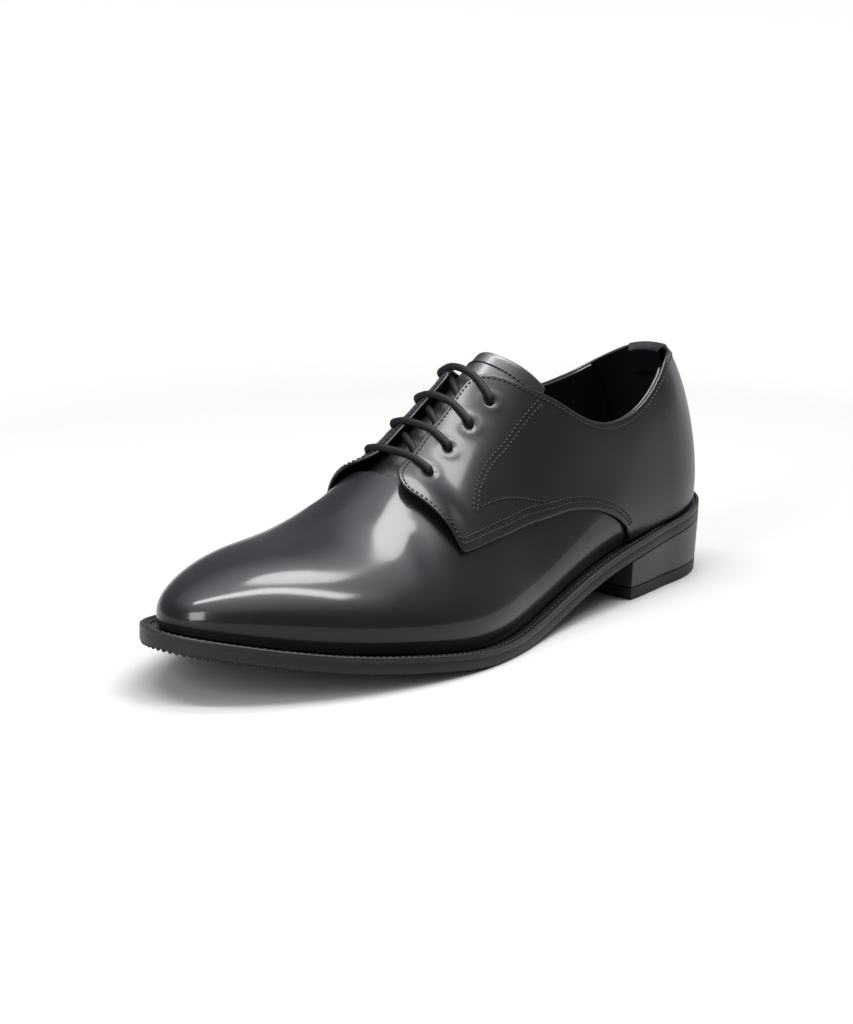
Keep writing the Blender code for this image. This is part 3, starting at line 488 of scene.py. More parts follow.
def outline(station, side, distance):
    """The feather line moved outwards in plan."""
    x, y = feather(station, side)
    normal_x, normal_y = plan_normal(station, side)
    return x + normal_x * distance, y + normal_y * distance


def tread_height(along):
    """The outsole's underside, flat on the floor under the forepart."""
    height = np.maximum(underside(along), 0.0)
    flat = (along >= TREAD[0]) & (along <= TREAD[1])
    return np.where(flat, 0.0, height)


# Meshes

def grid_faces(rows, columns, start=0, reverse=False):
    """Quads of a grid whose points run row by row."""
    faces = []
    for i in range(rows - 1):
        for j in range(columns - 1):
            corner = start + i * columns + j
            face = (corner, corner + columns, corner + columns + 1, corner + 1)
            faces.append(face[::-1] if reverse else face)
    return faces


WELD = 4.0e-6  # points nearer than this are joined


def new_mesh(name, points, faces):
    """A mesh with doubled points joined and its faces pointing out."""
    mesh = bpy.data.meshes.new(name)
    mesh.from_pydata([tuple(point) for point in points], [], faces)
    work = bmesh.new()
    work.from_mesh(mesh)
    bmesh.ops.remove_doubles(work, verts=work.verts, dist=WELD)
    bmesh.ops.dissolve_degenerate(work, edges=work.edges, dist=1.0e-7)
    loose = [vertex for vertex in work.verts if not vertex.link_faces]
    bmesh.ops.delete(work, geom=loose, context="VERTS")
    bmesh.ops.recalc_face_normals(work, faces=work.faces)
    work.to_mesh(mesh)
    work.free()
    return mesh


def new_piece(name, data, material, replaced=(), sharp=50.0):
    """A visible piece that rides with the shoe."""
    piece = bpy.data.objects.new(name, data)
    bpy.context.scene.collection.objects.link(piece)
    data.materials.append(material)
    if isinstance(data, bpy.types.Mesh):
        data.shade_smooth()
        if sharp:
            data.set_sharp_from_angle(angle=math.radians(sharp))
    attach(piece, "root")
    if replaced:
        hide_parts(*replaced)
    return piece


def rim_rings(outer, inner, away, steps):
    """Points of a folded edge, half round from the outer face to the inner one."""
    centre, radius = (outer + inner) / 2.0, (outer - inner) / 2.0
    length = np.linalg.norm(radius, axis=-1, keepdims=True)
    unit = radius / length
    away = away - unit * (away * unit).sum(axis=-1, keepdims=True)
    away = away / (np.linalg.norm(away, axis=-1, keepdims=True) + 1.0e-12)
    turns = [math.pi * step / steps for step in range(1, steps)]
    return [centre + radius * math.cos(turn) + away * length * math.sin(turn) for turn in turns]


def ring_faces(rings):
    """Quads between closed rings given as lists of point numbers."""
    faces = []
    for low, high in zip(rings, rings[1:]):
        for k in range(len(low)):
            after = (k + 1) % len(low)
            faces.append((low[k], low[after], high[after], high[k]))
    return faces


def fold_edge(points, outer_numbers, arcs, inner_numbers):
    """All points with the folded edge's own ones added, and that edge's faces."""
    rings = [list(outer_numbers)]
    for arc in arcs:
        rings.append(list(range(len(points), len(points) + len(arc))))
        points = np.concatenate([points, arc])
    return points, ring_faces(rings + [list(inner_numbers)])


def sheet_mesh(name, outer, inner, steps=5):
    """A sheet of leather between two grids of points, with folded edges all round."""
    rows, columns = outer.shape[:2]
    points = np.concatenate([outer.reshape(-1, 3), inner.reshape(-1, 3)])
    faces = grid_faces(rows, columns) + grid_faces(rows, columns, rows * columns, True)
    walk = [(0, j) for j in range(columns)] + [(i, columns - 1) for i in range(1, rows)]
    walk += [(rows - 1, j) for j in range(columns - 2, -1, -1)] + [(i, 0) for i in range(rows - 2, 0, -1)]
    ii, jj = np.array(walk).T
    away = outer[ii, jj] - outer[np.clip(ii, 1, rows - 2), np.clip(jj, 1, columns - 2)]
    arcs = rim_rings(outer[ii, jj], inner[ii, jj], away, steps)
    numbers = ii * columns + jj
    points, edge = fold_edge(points, numbers, arcs, rows * columns + numbers)
    return new_mesh(name, points, faces + edge)


def run_along(points):
    """Length of the path up to each of its points."""
    return np.concatenate([[0.0], np.cumsum(np.linalg.norm(np.diff(points, axis=0), axis=1))])


def blend_ribs(low, high, share):
    """Points between the ribs' low and high ends."""
    return low[:, None] + (high - low)[:, None] * share[None, :]


def smooth_path(points, step):
    """Evenly spaced points on a smooth curve through the given ones."""
    points = np.asarray(points, dtype=float)
    run = run_along(points)
    curves = [spline(run, points[:, k]) for k in range(points.shape[1])]
    fine = np.linspace(0.0, run[-1], 8 * len(points))
    trace = np.stack([curve(fine) for curve in curves], axis=-1)
    length = run_along(trace)
    count = max(int(round(length[-1] / step)), 1) + 1
    at = np.interp(np.linspace(0.0, length[-1], count), length, fine)
    return np.stack([curve(at) for curve in curves], axis=-1)


def cut_corners(points, rounds):
    """The path with its corners rounded off, never outside its own turns."""
    points = np.asarray(points, dtype=float)
    for _ in range(rounds):
        first = points[:-1] * 0.75 + points[1:] * 0.25
        second = points[:-1] * 0.25 + points[1:] * 0.75
        between = np.stack([first, second], axis=1).reshape(-1, points.shape[1])
        points = np.concatenate([points[:1], between, points[-1:]])
    return points


# Materials

def adder(tree):
    """A short way to add a node: it sets the node's own properties and the inputs' values."""
    def add(kind, **values):
        node = tree.nodes.new(kind)
        for name, value in values.items():
            if hasattr(node, name):
                setattr(node, name, value)
            else:
                node.inputs[name.replace("_", " ")].default_value = value
        return node

    return add


def new_material(name):
    material = bpy.data.materials.new(name)
    material.use_nodes = True
    tree = material.node_tree
    return material, tree.nodes["Principled BSDF"], adder(tree), tree.links.new


def blend(shader, add, link, factor, dark, light):
    """Mixes the shader's colour from two, by a factor."""
    tone = add("ShaderNodeMix", data_type="RGBA")
    tone.inputs["A"].default_value = (*dark, 1.0)
    tone.inputs["B"].default_value = (*light, 1.0)
    link(factor, tone.inputs["Factor"])
    link(tone.outputs["Result"], shader.inputs["Base Color"])


def vary(shader, add, link, factor, gloss, gloss_range, colour, colour_range):
    """Lets a texture vary the roughness and the colour between shares of their values."""
    ramp = add("ShaderNodeMapRange", To_Min=gloss * gloss_range[0], To_Max=gloss * gloss_range[1])
    link(factor, ramp.inputs["Value"])
    link(ramp.outputs["Result"], shader.inputs["Roughness"])
    blend(shader, add, link, factor, *[[c * share for c in colour] for share in colour_range])


def leather(name, colour, gloss, grain, coat, coat_gloss, shine):
    """Polished leather. gloss: roughness. grain: depth of the fine grain in metres."""
    material, shader, add, link = new_material(name)
    place = add("ShaderNodeTexCoord")
    cells = add("ShaderNodeTexVoronoi", feature="SMOOTH_F1", Scale=1500.0, Smoothness=0.6)
    pores = add("ShaderNodeTexNoise", Scale=900.0, Detail=4.0, Roughness=0.6)
    patches = add("ShaderNodeTexNoise", Scale=38.0, Detail=3.0, Roughness=0.5)
    wave = add("ShaderNodeTexNoise", Scale=130.0, Detail=2.0)
    for texture in (cells, pores, patches, wave):
        link(place.outputs["Object"], texture.inputs["Vector"])
    mix = add("ShaderNodeMath", operation="ADD")
    link(cells.outputs["Distance"], mix.inputs[0])
    link(pores.outputs["Fac"], mix.inputs[1])
    fine = add("ShaderNodeBump", Strength=1.0, Distance=grain)
    link(mix.outputs[0], fine.inputs["Height"])
    soft = add("ShaderNodeBump", Strength=1.0, Distance=grain * 6.0)
    link(wave.outputs["Fac"], soft.inputs["Height"])
    link(fine.outputs["Normal"], soft.inputs["Normal"])
    link(soft.outputs["Normal"], shader.inputs["Normal"])
    vary(shader, add, link, patches.outputs["Fac"], gloss, (0.85, 1.2), colour, (0.9, 1.15))
    shader.inputs["Coat Weight"].default_value = coat
    shader.inputs["Coat Roughness"].default_value = coat_gloss
    shader.inputs["Specular IOR Level"].default_value = shine
    return material


def plain(name, colour, gloss, scale, depth, shine, stretch=1.0):
    """Rubber, thread and edge finishes: fine noise in tone, gloss and relief."""
    material, shader, add, link = new_material(name)
    place = add("ShaderNodeTexCoord")
    turn = add("ShaderNodeMapping")
    turn.inputs["Scale"].default_value = (1.0, 1.0, stretch)
    noise = add("ShaderNodeTexNoise", Scale=scale, Detail=5.0, Roughness=0.6)
    link(place.outputs["Object"], turn.inputs["Vector"])
    link(turn.outputs["Vector"], noise.inputs["Vector"])
    bump = add("ShaderNodeBump", Strength=1.0, Distance=depth)
    link(noise.outputs["Fac"], bump.inputs["Height"])
    link(bump.outputs["Normal"], shader.inputs["Normal"])
    vary(shader, add, link, noise.outputs["Fac"], gloss, (0.8, 1.2), colour, (0.75, 1.25))
    shader.inputs["Specular IOR Level"].default_value = shine
    return material


VAMP_LEATHER = leather("vamp_leather", (0.0038, 0.0037, 0.0047), 0.38, 0.000006, 0.46, 0.13, 0.12)
QUARTER_LEATHER = leather("quarter_leather", (0.0048, 0.0047, 0.0058), 0.38, 0.000008, 0.28, 0.17, 0.17)
TONGUE_LEATHER = leather("tongue_leather", (0.0060, 0.0060, 0.0070), 0.40, 0.000008, 0.40, 0.20, 0.40)
LINING = leather("lining_leather", (0.0020, 0.0020, 0.0020), 0.80, 0.00001, 0.0, 0.1, 0.1)
FOOTBED = leather("insole_leather", (0.0030, 0.0028, 0.0027), 0.80, 0.00001, 0.0, 0.1, 0.1)
SOLE_EDGE = plain("sole_edge", (0.0072, 0.0070, 0.0085), 0.45, 420.0, 0.000012, 0.28, 3.0)
WELT_FINISH = plain("welt_finish", (0.0072, 0.0070, 0.0085), 0.45, 420.0, 0.000012, 0.28, 3.0)
RUBBER = plain("tread_rubber", (0.0060, 0.0060, 0.0064), 0.60, 700.0, 0.00003, 0.30)
HEEL_FINISH = plain("heel_finish", (0.0160, 0.0156, 0.0180), 0.42, 300.0, 0.000012, 0.35, 4.0)
THREAD = plain("thread", (0.0026, 0.0026, 0.0028), 0.40, 2500.0, 0.00003, 0.30)
LACE_FINISH = plain("lace_finish", (0.0019, 0.0019, 0.0021), 0.60, 1800.0, 0.00012, 0.18)
# Painted shade: the near-black colour of the discs that stand in for the eyelet holes' shaded insides
HOLE_SHADE = plain("eyelet_hole_shade", (0.0008, 0.0008, 0.0008), 0.90, 900.0, 0.00001, 0.05)


# Upper

THROAT_FRONT = 0.5655  # station of the throat's front on the ridge
THROAT_TURN = 0.535  # where its sides start to round towards that front
THROAT_WIDENING = 1.02  # how much wider the throat is than the facings' margin asks for
UPPER_COLUMNS = 46  # points on each rib of the vamp
RIB_CROWDING = 0.25  # how much closer those points lie towards the rib's ends
ON_LINING = 2.0e-5  # a point nearer than this to the inner points lies on the lining
FAN_START = 0.45  # ribs from this station on lean forwards round the throat
FAN_END = 0.60  # station at the feather line of the last rib that ends on the throat
FAN_SIDES = 0.55  # share of those ribs that end on the throat's straight sides


def throat_out(station):
    """The throat's edge: its distance from the ridge."""
    share = np.clip((station - THROAT_TURN) / (THROAT_FRONT - THROAT_TURN), 0.0, 1.0)
    return THROAT_WIDENING * throat_half() * (1.0 - share ** 3) ** (1.0 / 3.0)


def upper_ribs():
    """Stations of the ribs at the feather line and at the top, and how many end on the open edge."""
    heel = np.linspace(0.0, HEEL_STATION, 34)
    back = np.concatenate([heel, np.linspace(HEEL_STATION, FAN_START, 60)[1:]])
    turn = np.linspace(0.0, 1.0, 46)[1:]
    straight = FAN_START + (THROAT_TURN - FAN_START) * turn / FAN_SIDES
    bend = np.clip((turn - FAN_SIDES) / (1.0 - FAN_SIDES), 0.0, 1.0)
    rounded = THROAT_TURN + (THROAT_FRONT - THROAT_TURN) * np.sin(bend * math.pi / 2.0)
    edge = np.where(turn < FAN_SIDES, straight, rounded)
    front = np.linspace(0.0, 1.0, 131)[1:]
    fan = FAN_START + (FAN_END - FAN_START) * turn
    low = np.concatenate([back, fan, FAN_END + (1.0 - FAN_END) * front])
    high = np.concatenate([back, edge, THROAT_FRONT + (1.0 - THROAT_FRONT) * front])
    return low, high, len(back) + len(turn)


CREASE_STEP = 0.008  # between the places on a crease's line that its depth is worked out from

# Soft troughs and ridges that wear has put in the vamp. Each runs through places given as station
# and up on one side. depth: positive for a trough. reach: half its width.
CREASES = (
    (1.0, ((0.596, 0.66), (0.602, 0.56), (0.616, 0.44)), 0.00030, 0.0055),
    (1.0, ((0.640, 0.86), (0.646, 0.70), (0.644, 0.54)), 0.00016, 0.0080),
    (1.0, ((0.618, 0.80), (0.622, 0.66), (0.626, 0.52)), -0.00016, 0.0060),
    (1.0, ((0.596, 0.40), (0.620, 0.33), (0.655, 0.29)), 0.00022, 0.0055),
    (-1.0, ((0.592, 0.66), (0.596, 0.56), (0.606, 0.44)), 0.00030, 0.0055),
    (-1.0, ((0.634, 0.84), (0.640, 0.70), (0.638, 0.54)), 0.00016, 0.0080),
)


def creases(side, station, up):
    """How deep the leather lies below the form."""
    places = form(station, up, side)
    depth = np.zeros(places.shape[:-1])
    for crease_side, line, deep, reach in CREASES:
        if crease_side != side:
            continue
        path = smooth_path(line, CREASE_STEP)
        apart = np.full(depth.shape, 1.0)
        for at_station, at_up in path:
            apart = np.minimum(apart, np.linalg.norm(places - form(at_station, at_up, side), axis=-1))
        depth += deep * np.exp(-(apart / reach) ** 2)
    return depth


def upper_grid(side, offset):
    """Half of the vamp's leather as a grid of points, and how many ribs end on the open edge."""
    low, high, count = upper_ribs()
    top = np.ones(len(high))
    ends = high[:count]
    top[:count] = np.minimum(topline(ends, side), up_at(ends, throat_out(ends), side))
    top[count - 1] = 1.0
    share = np.linspace(0.0, 1.0, UPPER_COLUMNS)
    share = share * (1.0 + RIB_CROWDING * (1.0 - share) * (share - 0.5))
    stations = low[:, None] + (high - low)[:, None] * share[None, :] ** 2
    ups = top[:, None] * share[None, :]
    grid = offset_form(stations, ups, side, offset - creases(side, stations, ups))
    return grid, count


def add_upper():
    grids = {}
    for side in (1.0, -1.0):
        outer, count = upper_grid(side, 0.0)
        inner, _ = upper_grid(side, -UPPER_WALL)
        grids[side] = outer, inner
    rows, columns = grids[1.0][0].shape[:2]
    points = np.concatenate([grid.reshape(-1, 3) for side in (1.0, -1.0) for grid in grids[side]])
    size = rows * columns
    faces = []
    for block, reverse in enumerate((True, False, False, True)):
        faces += grid_faces(rows, columns, block * size, reverse)
    start = {1.0: (0, size), -1.0: (2 * size, 3 * size)}
    # The open edge at the ribs' top ends, then the lasted edge at their feet
    for ribs, column_number, next_column, steps in ((count, columns - 1, columns - 2, 5), (rows, 0, 1, 2)):
        walk = [(1.0, i) for i in range(ribs)] + [(-1.0, i) for i in range(ribs - 2, 0, -1)]
        outer = np.array([grids[side][0][i, column_number] for side, i in walk])
        inner = np.array([grids[side][1][i, column_number] for side, i in walk])
        before = np.array([grids[side][0][i, next_column] for side, i in walk])
        numbers = [[start[side][face] + i * columns + column_number for side, i in walk] for face in (0, 1)]
        arcs = rim_rings(outer, inner, outer - before, steps)
        points, edge = fold_edge(points, numbers[0], arcs, numbers[1])
        faces += edge
    mesh = new_mesh("upper_leather", points, faces)
    piece = new_piece("upper_leather", mesh, VAMP_LEATHER, ("upper",))
    mesh.materials.append(LINING)
    line_inside(piece, np.concatenate([grids[side][1].reshape(-1, 3) for side in (1.0, -1.0)]))


def line_inside(piece, inside):
    """Gives the faces on the inner points the lining's material, which is the second one."""
    tree = KDTree(len(inside))
    for number, place in enumerate(inside):
        tree.insert(place, number)
    tree.balance()
    for face in piece.data.polygons:
        near = max(tree.find(piece.data.vertices[v].co)[2] for v in face.vertices)
        if near < ON_LINING:
            face.material_index = 1


# Quarters

TOP_WEIGHT = 3.0  # how much more the ribs' top ends count than their feet when they are spaced
ON_FEATHER = 0.02  # a rib whose foot is lower than this stands on the feather line


def quarter_edges(side, count=190):
    """The quarter's outline, smooth: stations and shares of the way up of many ribs, low and high."""
    low_station, low_up, high_station, high_up = quarter_ribs(side)
    low_up = np.maximum(low_up, 0.0)
    run = np.concatenate([[0.0], np.cumsum(np.hypot(
        np.diff(high_station) * TOP_WEIGHT + np.diff(low_station), np.diff(high_up)) + 1.0e-4)])
    place = np.linspace(0.0, run[-1], count)
    return [np.interp(place, run, values) if values is low_up else spline(run, values)(place)
            for values in (low_station, low_up, high_station, high_up)]


def dimples(side, station, up):
    """How deep the leather is drawn in round the eyelets."""
    places = form(station, up, side)
    depth = np.zeros(places.shape[:-1])
    for at_station, at_up in zip(*eyelet_places(side)[:2]):
        apart = np.linalg.norm(places - form(at_station, at_up, side), axis=-1)
        depth += DIMPLE_DEPTH * np.exp(-(apart / DIMPLE_REACH) ** 2)
        depth -= DIMPLE_RIM * np.exp(-((apart - 2.0 * DIMPLE_REACH) / DIMPLE_REACH) ** 2)
    return depth


def quarter_surface(side, station, up):
    """Points on the quarter's outer face."""
    out = quarter_offset(station, up) + QUARTER_WALL - dimples(side, station, up)
    return offset_form(station, up, side, out)


def add_eyelet_hole_shades(name, side):
    """Dark discs of painted shade where the eyelet holes are, which the lace runs through."""
    points, faces = [], []
    for station, up, lift in zip(*eyelet_places(side)):
        normal = form_normal(station, up, side)
        centre = form(station, up, side) + normal * (lift + QUARTER_WALL - DIMPLE_DEPTH + HOLE_SHADE_LIFT)
        first = np.cross(normal, (0.0, 0.0, 1.0))
        first /= np.linalg.norm(first)
        second = np.cross(normal, first)
        start = len(points)
        for k in range(HOLE_SHADE_CORNERS):
            turn = 2.0 * math.pi * k / HOLE_SHADE_CORNERS
            ray = first * math.cos(turn) + second * math.sin(turn)
            points.append(centre + ray * EYELET_DIAMETER / 2.0)
        faces.append(tuple(range(start, start + HOLE_SHADE_CORNERS)))
    mesh = bpy.data.meshes.new(name)
    mesh.from_pydata([tuple(point) for point in points], [], faces)
    new_piece(name, mesh, HOLE_SHADE, sharp=0.0)


def add_quarter(name, side):
    """One quarter. Where it reaches the feather line, its lower edge is raised a little off the welt."""
    low_station, low_up, high_station, high_up = quarter_edges(side)
    share = np.linspace(0.0, 1.0, 64)
    stations = blend_ribs(low_station, high_station, share)
    ups = blend_ribs(low_up, high_up, share)
    stations = np.maximum(stations, back_seam_station())
    outer = quarter_surface(side, stations, ups)
    inner = offset_form(stations, ups, side, quarter_offset(stations, ups))
    lift = 2.0 * CLEARANCE * (1.0 - share)[None, :] ** 8 * (low_up < ON_FEATHER)[:, None]
    outer[..., 2] += lift
    inner[..., 2] += lift
    replaced = "quarter_lateral" if side > 0.0 else "quarter_medial"
    new_piece(name, sheet_mesh(name, outer, inner), QUARTER_LEATHER, (replaced,))


# Stitching

STITCH = (0.0014, 0.00062)  # a stitch's length and thickness


def stitch_mesh(length, thickness, sides=6):
    """Points and faces of one stitch along +X, sunk at both ends, with +Z out of the leather."""
    places = np.array([-0.5, -0.42, -0.2, 0.2, 0.42, 0.5]) * length
    rise = np.array([-0.9, 0.15, 0.55, 0.55, 0.15, -0.9]) * thickness / 2.0
    turns = np.arange(sides) * 2.0 * math.pi / sides
    points = [(x, math.cos(turn) * thickness / 2.0, z + math.sin(turn) * thickness / 2.0)
              for x, z in zip(places, rise) for turn in turns]
    rings = [list(range(i * sides, (i + 1) * sides)) for i in range(len(places))]
    faces = ring_faces(rings) + [tuple(rings[0][::-1]), tuple(rings[-1])]
    return np.array(points), faces


def stitches(name, rows, size=STITCH, material=THREAD):
    """Rows of stitches. Each row is places and directions out of the leather, one pair a hole."""
    shape, faces = stitch_mesh(*size)
    points, all_faces = [], []
    for places, normals in rows:
        middles = (places[1:] + places[:-1]) / 2.0
        along = places[1:] - places[:-1]
        along = along / (np.linalg.norm(along, axis=1, keepdims=True) + 1.0e-12)
        out = (normals[1:] + normals[:-1]) / 2.0
        out = out - along * (out * along).sum(axis=1, keepdims=True)
        out = out / np.linalg.norm(out, axis=1, keepdims=True)
        across = np.cross(out, along)
        for k in range(len(middles)):
            start = len(points) * len(shape)
            points.append(middles[k] + shape @ np.stack([along[k], across[k], out[k]]))
            all_faces += [tuple(start + corner for corner in face) for face in faces]
    mesh = bpy.data.meshes.new(name)
    mesh.from_pydata([tuple(p) for p in np.concatenate(points)], [], all_faces)
    new_piece(name, mesh, material, sharp=0.0)


def quarter_row(side, stations, ups):
    """A row of stitch holes over the quarter, from stations and shares of the way up."""
    fine = smooth_path(np.stack([stations, ups], axis=-1), 0.0005)
    run = run_along(quarter_surface(side, fine[:, 0], fine[:, 1]))
    count = max(int(round(run[-1] / STITCH_PITCH)), 1) + 1
    at = np.linspace(0.0, run[-1], count)
    station, up = np.interp(at, run, fine[:, 0]), np.interp(at, run, fine[:, 1])
    return quarter_surface(side, station, up), form_normal(station, up, side)


def inset_row(side, edge_station, edge_up, to_station, to_up, inset):
    """Stations and shares of the way up of a line at a distance inside an edge."""
    edge = quarter_surface(side, edge_station, edge_up)
    far = quarter_surface(side, to_station, to_up)
    share = inset / np.linalg.norm(far - edge, axis=-1)
    return edge_station + (to_station - edge_station) * share, edge_up + (to_up - edge_up) * share


STITCH_PITCH = 0.0021
SEAM_INSETS = (0.0021, 0.0040)  # the double row inside the quarter's lower seam
COLLAR_INSET = 0.0024
FACING_INSET = 0.0018
# Rows inside the front edge: the fine rib that each follows, and where it starts and ends on it
FRONT_ROWS = ((4, 0.04, 0.97), (8, 0.06, 0.42))

# The double row down the quarter and the arc beneath it. station and up, on the little toe's side.
DOWN_ROW = ((0.388, 0.533), (0.424, 0.541), (0.451, 0.544), (0.478, 0.556), (0.500, 0.544),
            (0.516, 0.517), (0.526, 0.479))
ARC_ROW = ((0.521, 0.475), (0.486, 0.421), (0.455, 0.359), (0.433, 0.305), (0.414, 0.262))
ROW_GAP = 0.0021


def beside(side, stations, ups, distance):
    """The line at a distance beside another on the quarter."""
    path = smooth_path(np.stack([stations, ups], axis=-1), 0.02)
    places = quarter_surface(side, path[:, 0], path[:, 1])
    run = np.gradient(places, axis=0)
    normal = form_normal(path[:, 0], path[:, 1], side)
    sideways = np.cross(normal, run)
    sideways /= np.linalg.norm(sideways, axis=1, keepdims=True)
    step = 1.0e-3
    by_station = (quarter_surface(side, path[:, 0] + step, path[:, 1]) - places) / step
    by_up = (quarter_surface(side, path[:, 0], path[:, 1] + step) - places) / step
    moved = []
    for k in range(len(path)):
        basis = np.stack([by_station[k], by_up[k]], axis=-1)
        change = np.linalg.lstsq(basis, sideways[k] * distance, rcond=None)[0]
        moved.append(path[k] + change)
    return np.array(moved).T


def add_quarter_stitches(name, side):
    """All rows on one quarter. Every sixth fine rib is enough, and the rows stop short of corners."""
    low_station, low_up, high_station, high_up = quarter_edges(side, 400)
    seam = low_up > 0.01
    lines = []
    for inset, first in zip(SEAM_INSETS, (3, 6)):
        line = inset_row(side, low_station[seam], low_up[seam], high_station[seam], high_up[seam], inset)
        lines.append([values[first:][::6] for values in line])
    insets = np.where(high_station > COLLAR_RIBS[0][2], FACING_INSET, COLLAR_INSET)
    line = inset_row(side, high_station, high_up, low_station, low_up, insets)
    lines.append([values[4:-4][::6] for values in line])
    share = np.linspace(0.0, 1.0, 20)
    for rib, low, high in FRONT_ROWS:
        within = share[(share >= low) & (share <= high)]
        lines.append([low_station[rib] + (high_station[rib] - low_station[rib]) * within,
                      low_up[rib] + (high_up[rib] - low_up[rib]) * within])
    down = np.array(DOWN_ROW).T
    lines += [down, beside(side, *down, ROW_GAP), np.array(ARC_ROW).T]
    stitches(name, [quarter_row(side, *line) for line in lines])


# Tongue

TONGUE_ROW = 0.0030  # the tongue's stitches lie this far under its top edge
TONGUE_LENGTH = 0.052
TONGUE_ROW_LIFT = 0.00005  # and this far over the leather


def tongue_surface(share, across, distance):
    """Points of the tongue. share: from its front to its top. across: -1 to 1, from one edge."""
    share, across = np.broadcast_arrays(share, across)
    widths = np.interp(share, column(TONGUE_WIDTH, TONGUE_WIDTH_COLUMNS, "along"),
                       column(TONGUE_WIDTH, TONGUE_WIDTH_COLUMNS, "out")) * throat_half()
    tops = TONGUE_TOP - (TONGUE_TOP - TONGUE_CORNER) * np.abs(across) ** TONGUE_TOP_CURVE
    stations = TONGUE_FRONT + (tops - TONGUE_FRONT) * share
    side = np.where(across < 0.0, 1.0, -1.0)
    result = np.zeros(share.shape + (3,))
    for value in (1.0, -1.0):
        chosen = side == value
        ups = up_at(stations[chosen], np.abs(across[chosen]) * widths[chosen], value)
        result[chosen] = offset_form(stations[chosen], ups, value, distance)
    return result


def add_tongue():
    share = np.linspace(0.0, 1.0, 70)[:, None]
    across = np.linspace(-1.0, 1.0, 61)[None, :]
    top = -(UPPER_WALL + TONGUE_GAP)
    mesh = sheet_mesh("tongue_leather", tongue_surface(share, across, top),
                      tongue_surface(share, across, top - TONGUE_WALL), 7)
    new_piece("tongue_leather", mesh, TONGUE_LEATHER, ("tongue",))
    across = np.linspace(-0.9, 0.9, 60)
    share = 1.0 - TONGUE_ROW / TONGUE_LENGTH
    places = tongue_surface(share, across, top + TONGUE_ROW_LIFT)
    below = tongue_surface(share - 0.02, across, top + TONGUE_ROW_LIFT)
    run = np.gradient(places, axis=0)
    normals = np.cross(run, below - places)
    normals /= np.linalg.norm(normals, axis=1, keepdims=True)
    normals *= np.sign(normals[:, 2:])
    step = max(int(round(STITCH_PITCH / np.linalg.norm(run, axis=1).mean())), 1)
    stitches("tongue_stitches", [(places[::step], normals[::step])])


# Heel tab

TAB_VISIBLE = 0.0005  # the thin leather at its edges


def tab_face(stations, rim_up, extra):
    """Rows of points over the collar, from the tab's foot outside to its foot inside."""
    foot = rim_up * (1.0 - TAB_DEPTH / COLLAR_BACK)
    outside, inside = 2.0 * CLEARANCE + QUARTER_WALL, -(UPPER_WALL + 2.0 * CLEARANCE)
    ups = [foot + (rim_up - foot) * share for share in np.linspace(0.0, 1.0, 14)]
    first, last = (offset_form(stations, rim_up, 1.0, out) for out in (outside, inside))
    centre, radius = (first + last) / 2.0, (first - last) / 2.0
    spread = radius * (1.0 + extra / np.linalg.norm(radius, axis=1, keepdims=True))
    rows = [offset_form(stations, up, 1.0, outside + extra) for up in ups]
    for turn in np.linspace(0.0, math.pi, 10)[1:-1]:
        rise = math.sin(turn) * (CLEARANCE + extra)
        rows.append(centre + spread * math.cos(turn) + np.array((0.0, 0.0, rise)))
    rows += [offset_form(stations, up, 1.0, inside - extra) for up in ups[::-1]]
    return np.array(rows)


def add_heel_tab():
    half_angle = math.asin((TAB_WIDTH / HEEL_SEAT_WIDTH) ** (HEEL_ROUNDNESS / 2.0))
    reach = HEEL_STATION * half_angle * 2.0 / math.pi
    stations = np.linspace(-reach, reach, 41)
    rim_up = np.where(stations < 0.0, topline(np.abs(stations), -1.0), topline(np.abs(stations), 1.0))
    faces = [tab_face(stations, rim_up, extra) for extra in (TAB_VISIBLE, 0.0)]
    mesh = sheet_mesh("heel_tab_leather", *faces)
    new_piece("heel_tab_leather", mesh, QUARTER_LEATHER, ("heel_tab",))


# Sole

def outline_loop(stations, margin, height):
    """A closed loop round the sole: its stations twice, up one side and back down the other."""
    loop = []
    for side in (1.0, -1.0):
        x, y = outline(stations, side, margin)
        loop.append(np.stack([x, y, height(along_of(x))], axis=-1))
    return np.concatenate([loop[0], loop[1][-2:0:-1]])


def stack_mesh(name, rings):
    """A closed solid between loops of points, each up one side and back down the other."""
    count = len(rings[0])
    faces = ring_faces([list(range(k * count, (k + 1) * count)) for k in range(len(rings))])
    for start in (0, (len(rings) - 1) * count):
        for i in range(count // 2):
            right = [start + (count - j) % count for j in (i, i + 1)]
            faces.append((start + i, start + i + 1, right[1], right[0]))
    return new_mesh(name, np.concatenate(rings), faces)


def layer(name, profile):
    """A solid layer of the sole. profile: inset of the edge and height, from the bottom up."""
    stations = fine_stations()
    return stack_mesh(name, [outline_loop(stations, sole_margin(stations) - inset, height)
                             for inset, height in profile])


def fine_stations(last=1.0):
    heel = np.linspace(0.0, HEEL_STATION, 60)
    run = np.linspace(HEEL_STATION, TOE_STATION, 120)
    toe = np.linspace(TOE_STATION, 1.0, 110)
    stations = np.unique(np.round(np.concatenate([heel, run, toe]), 9))
    return np.concatenate([stations[stations < last - 0.002], [last]])


def raised(height, rise):
    """The same height function, moved up."""
    def value(along):
        return height(along) + rise

    return value


def corner(height, radius, sign, steps=4):
    """Profile of an edge's rounded corner. sign: 1 from below to the side, -1 from the side to above."""
    profile = []
    for k in range(steps + 1):
        turn = math.pi / 2.0 * k / steps
        inset, rise = 1.0 - math.sin(turn), 1.0 - math.cos(turn)
        if sign < 0:
            inset, rise = rise, inset
        profile.append((radius * inset, raised(height, sign * radius * rise)))
    return profile


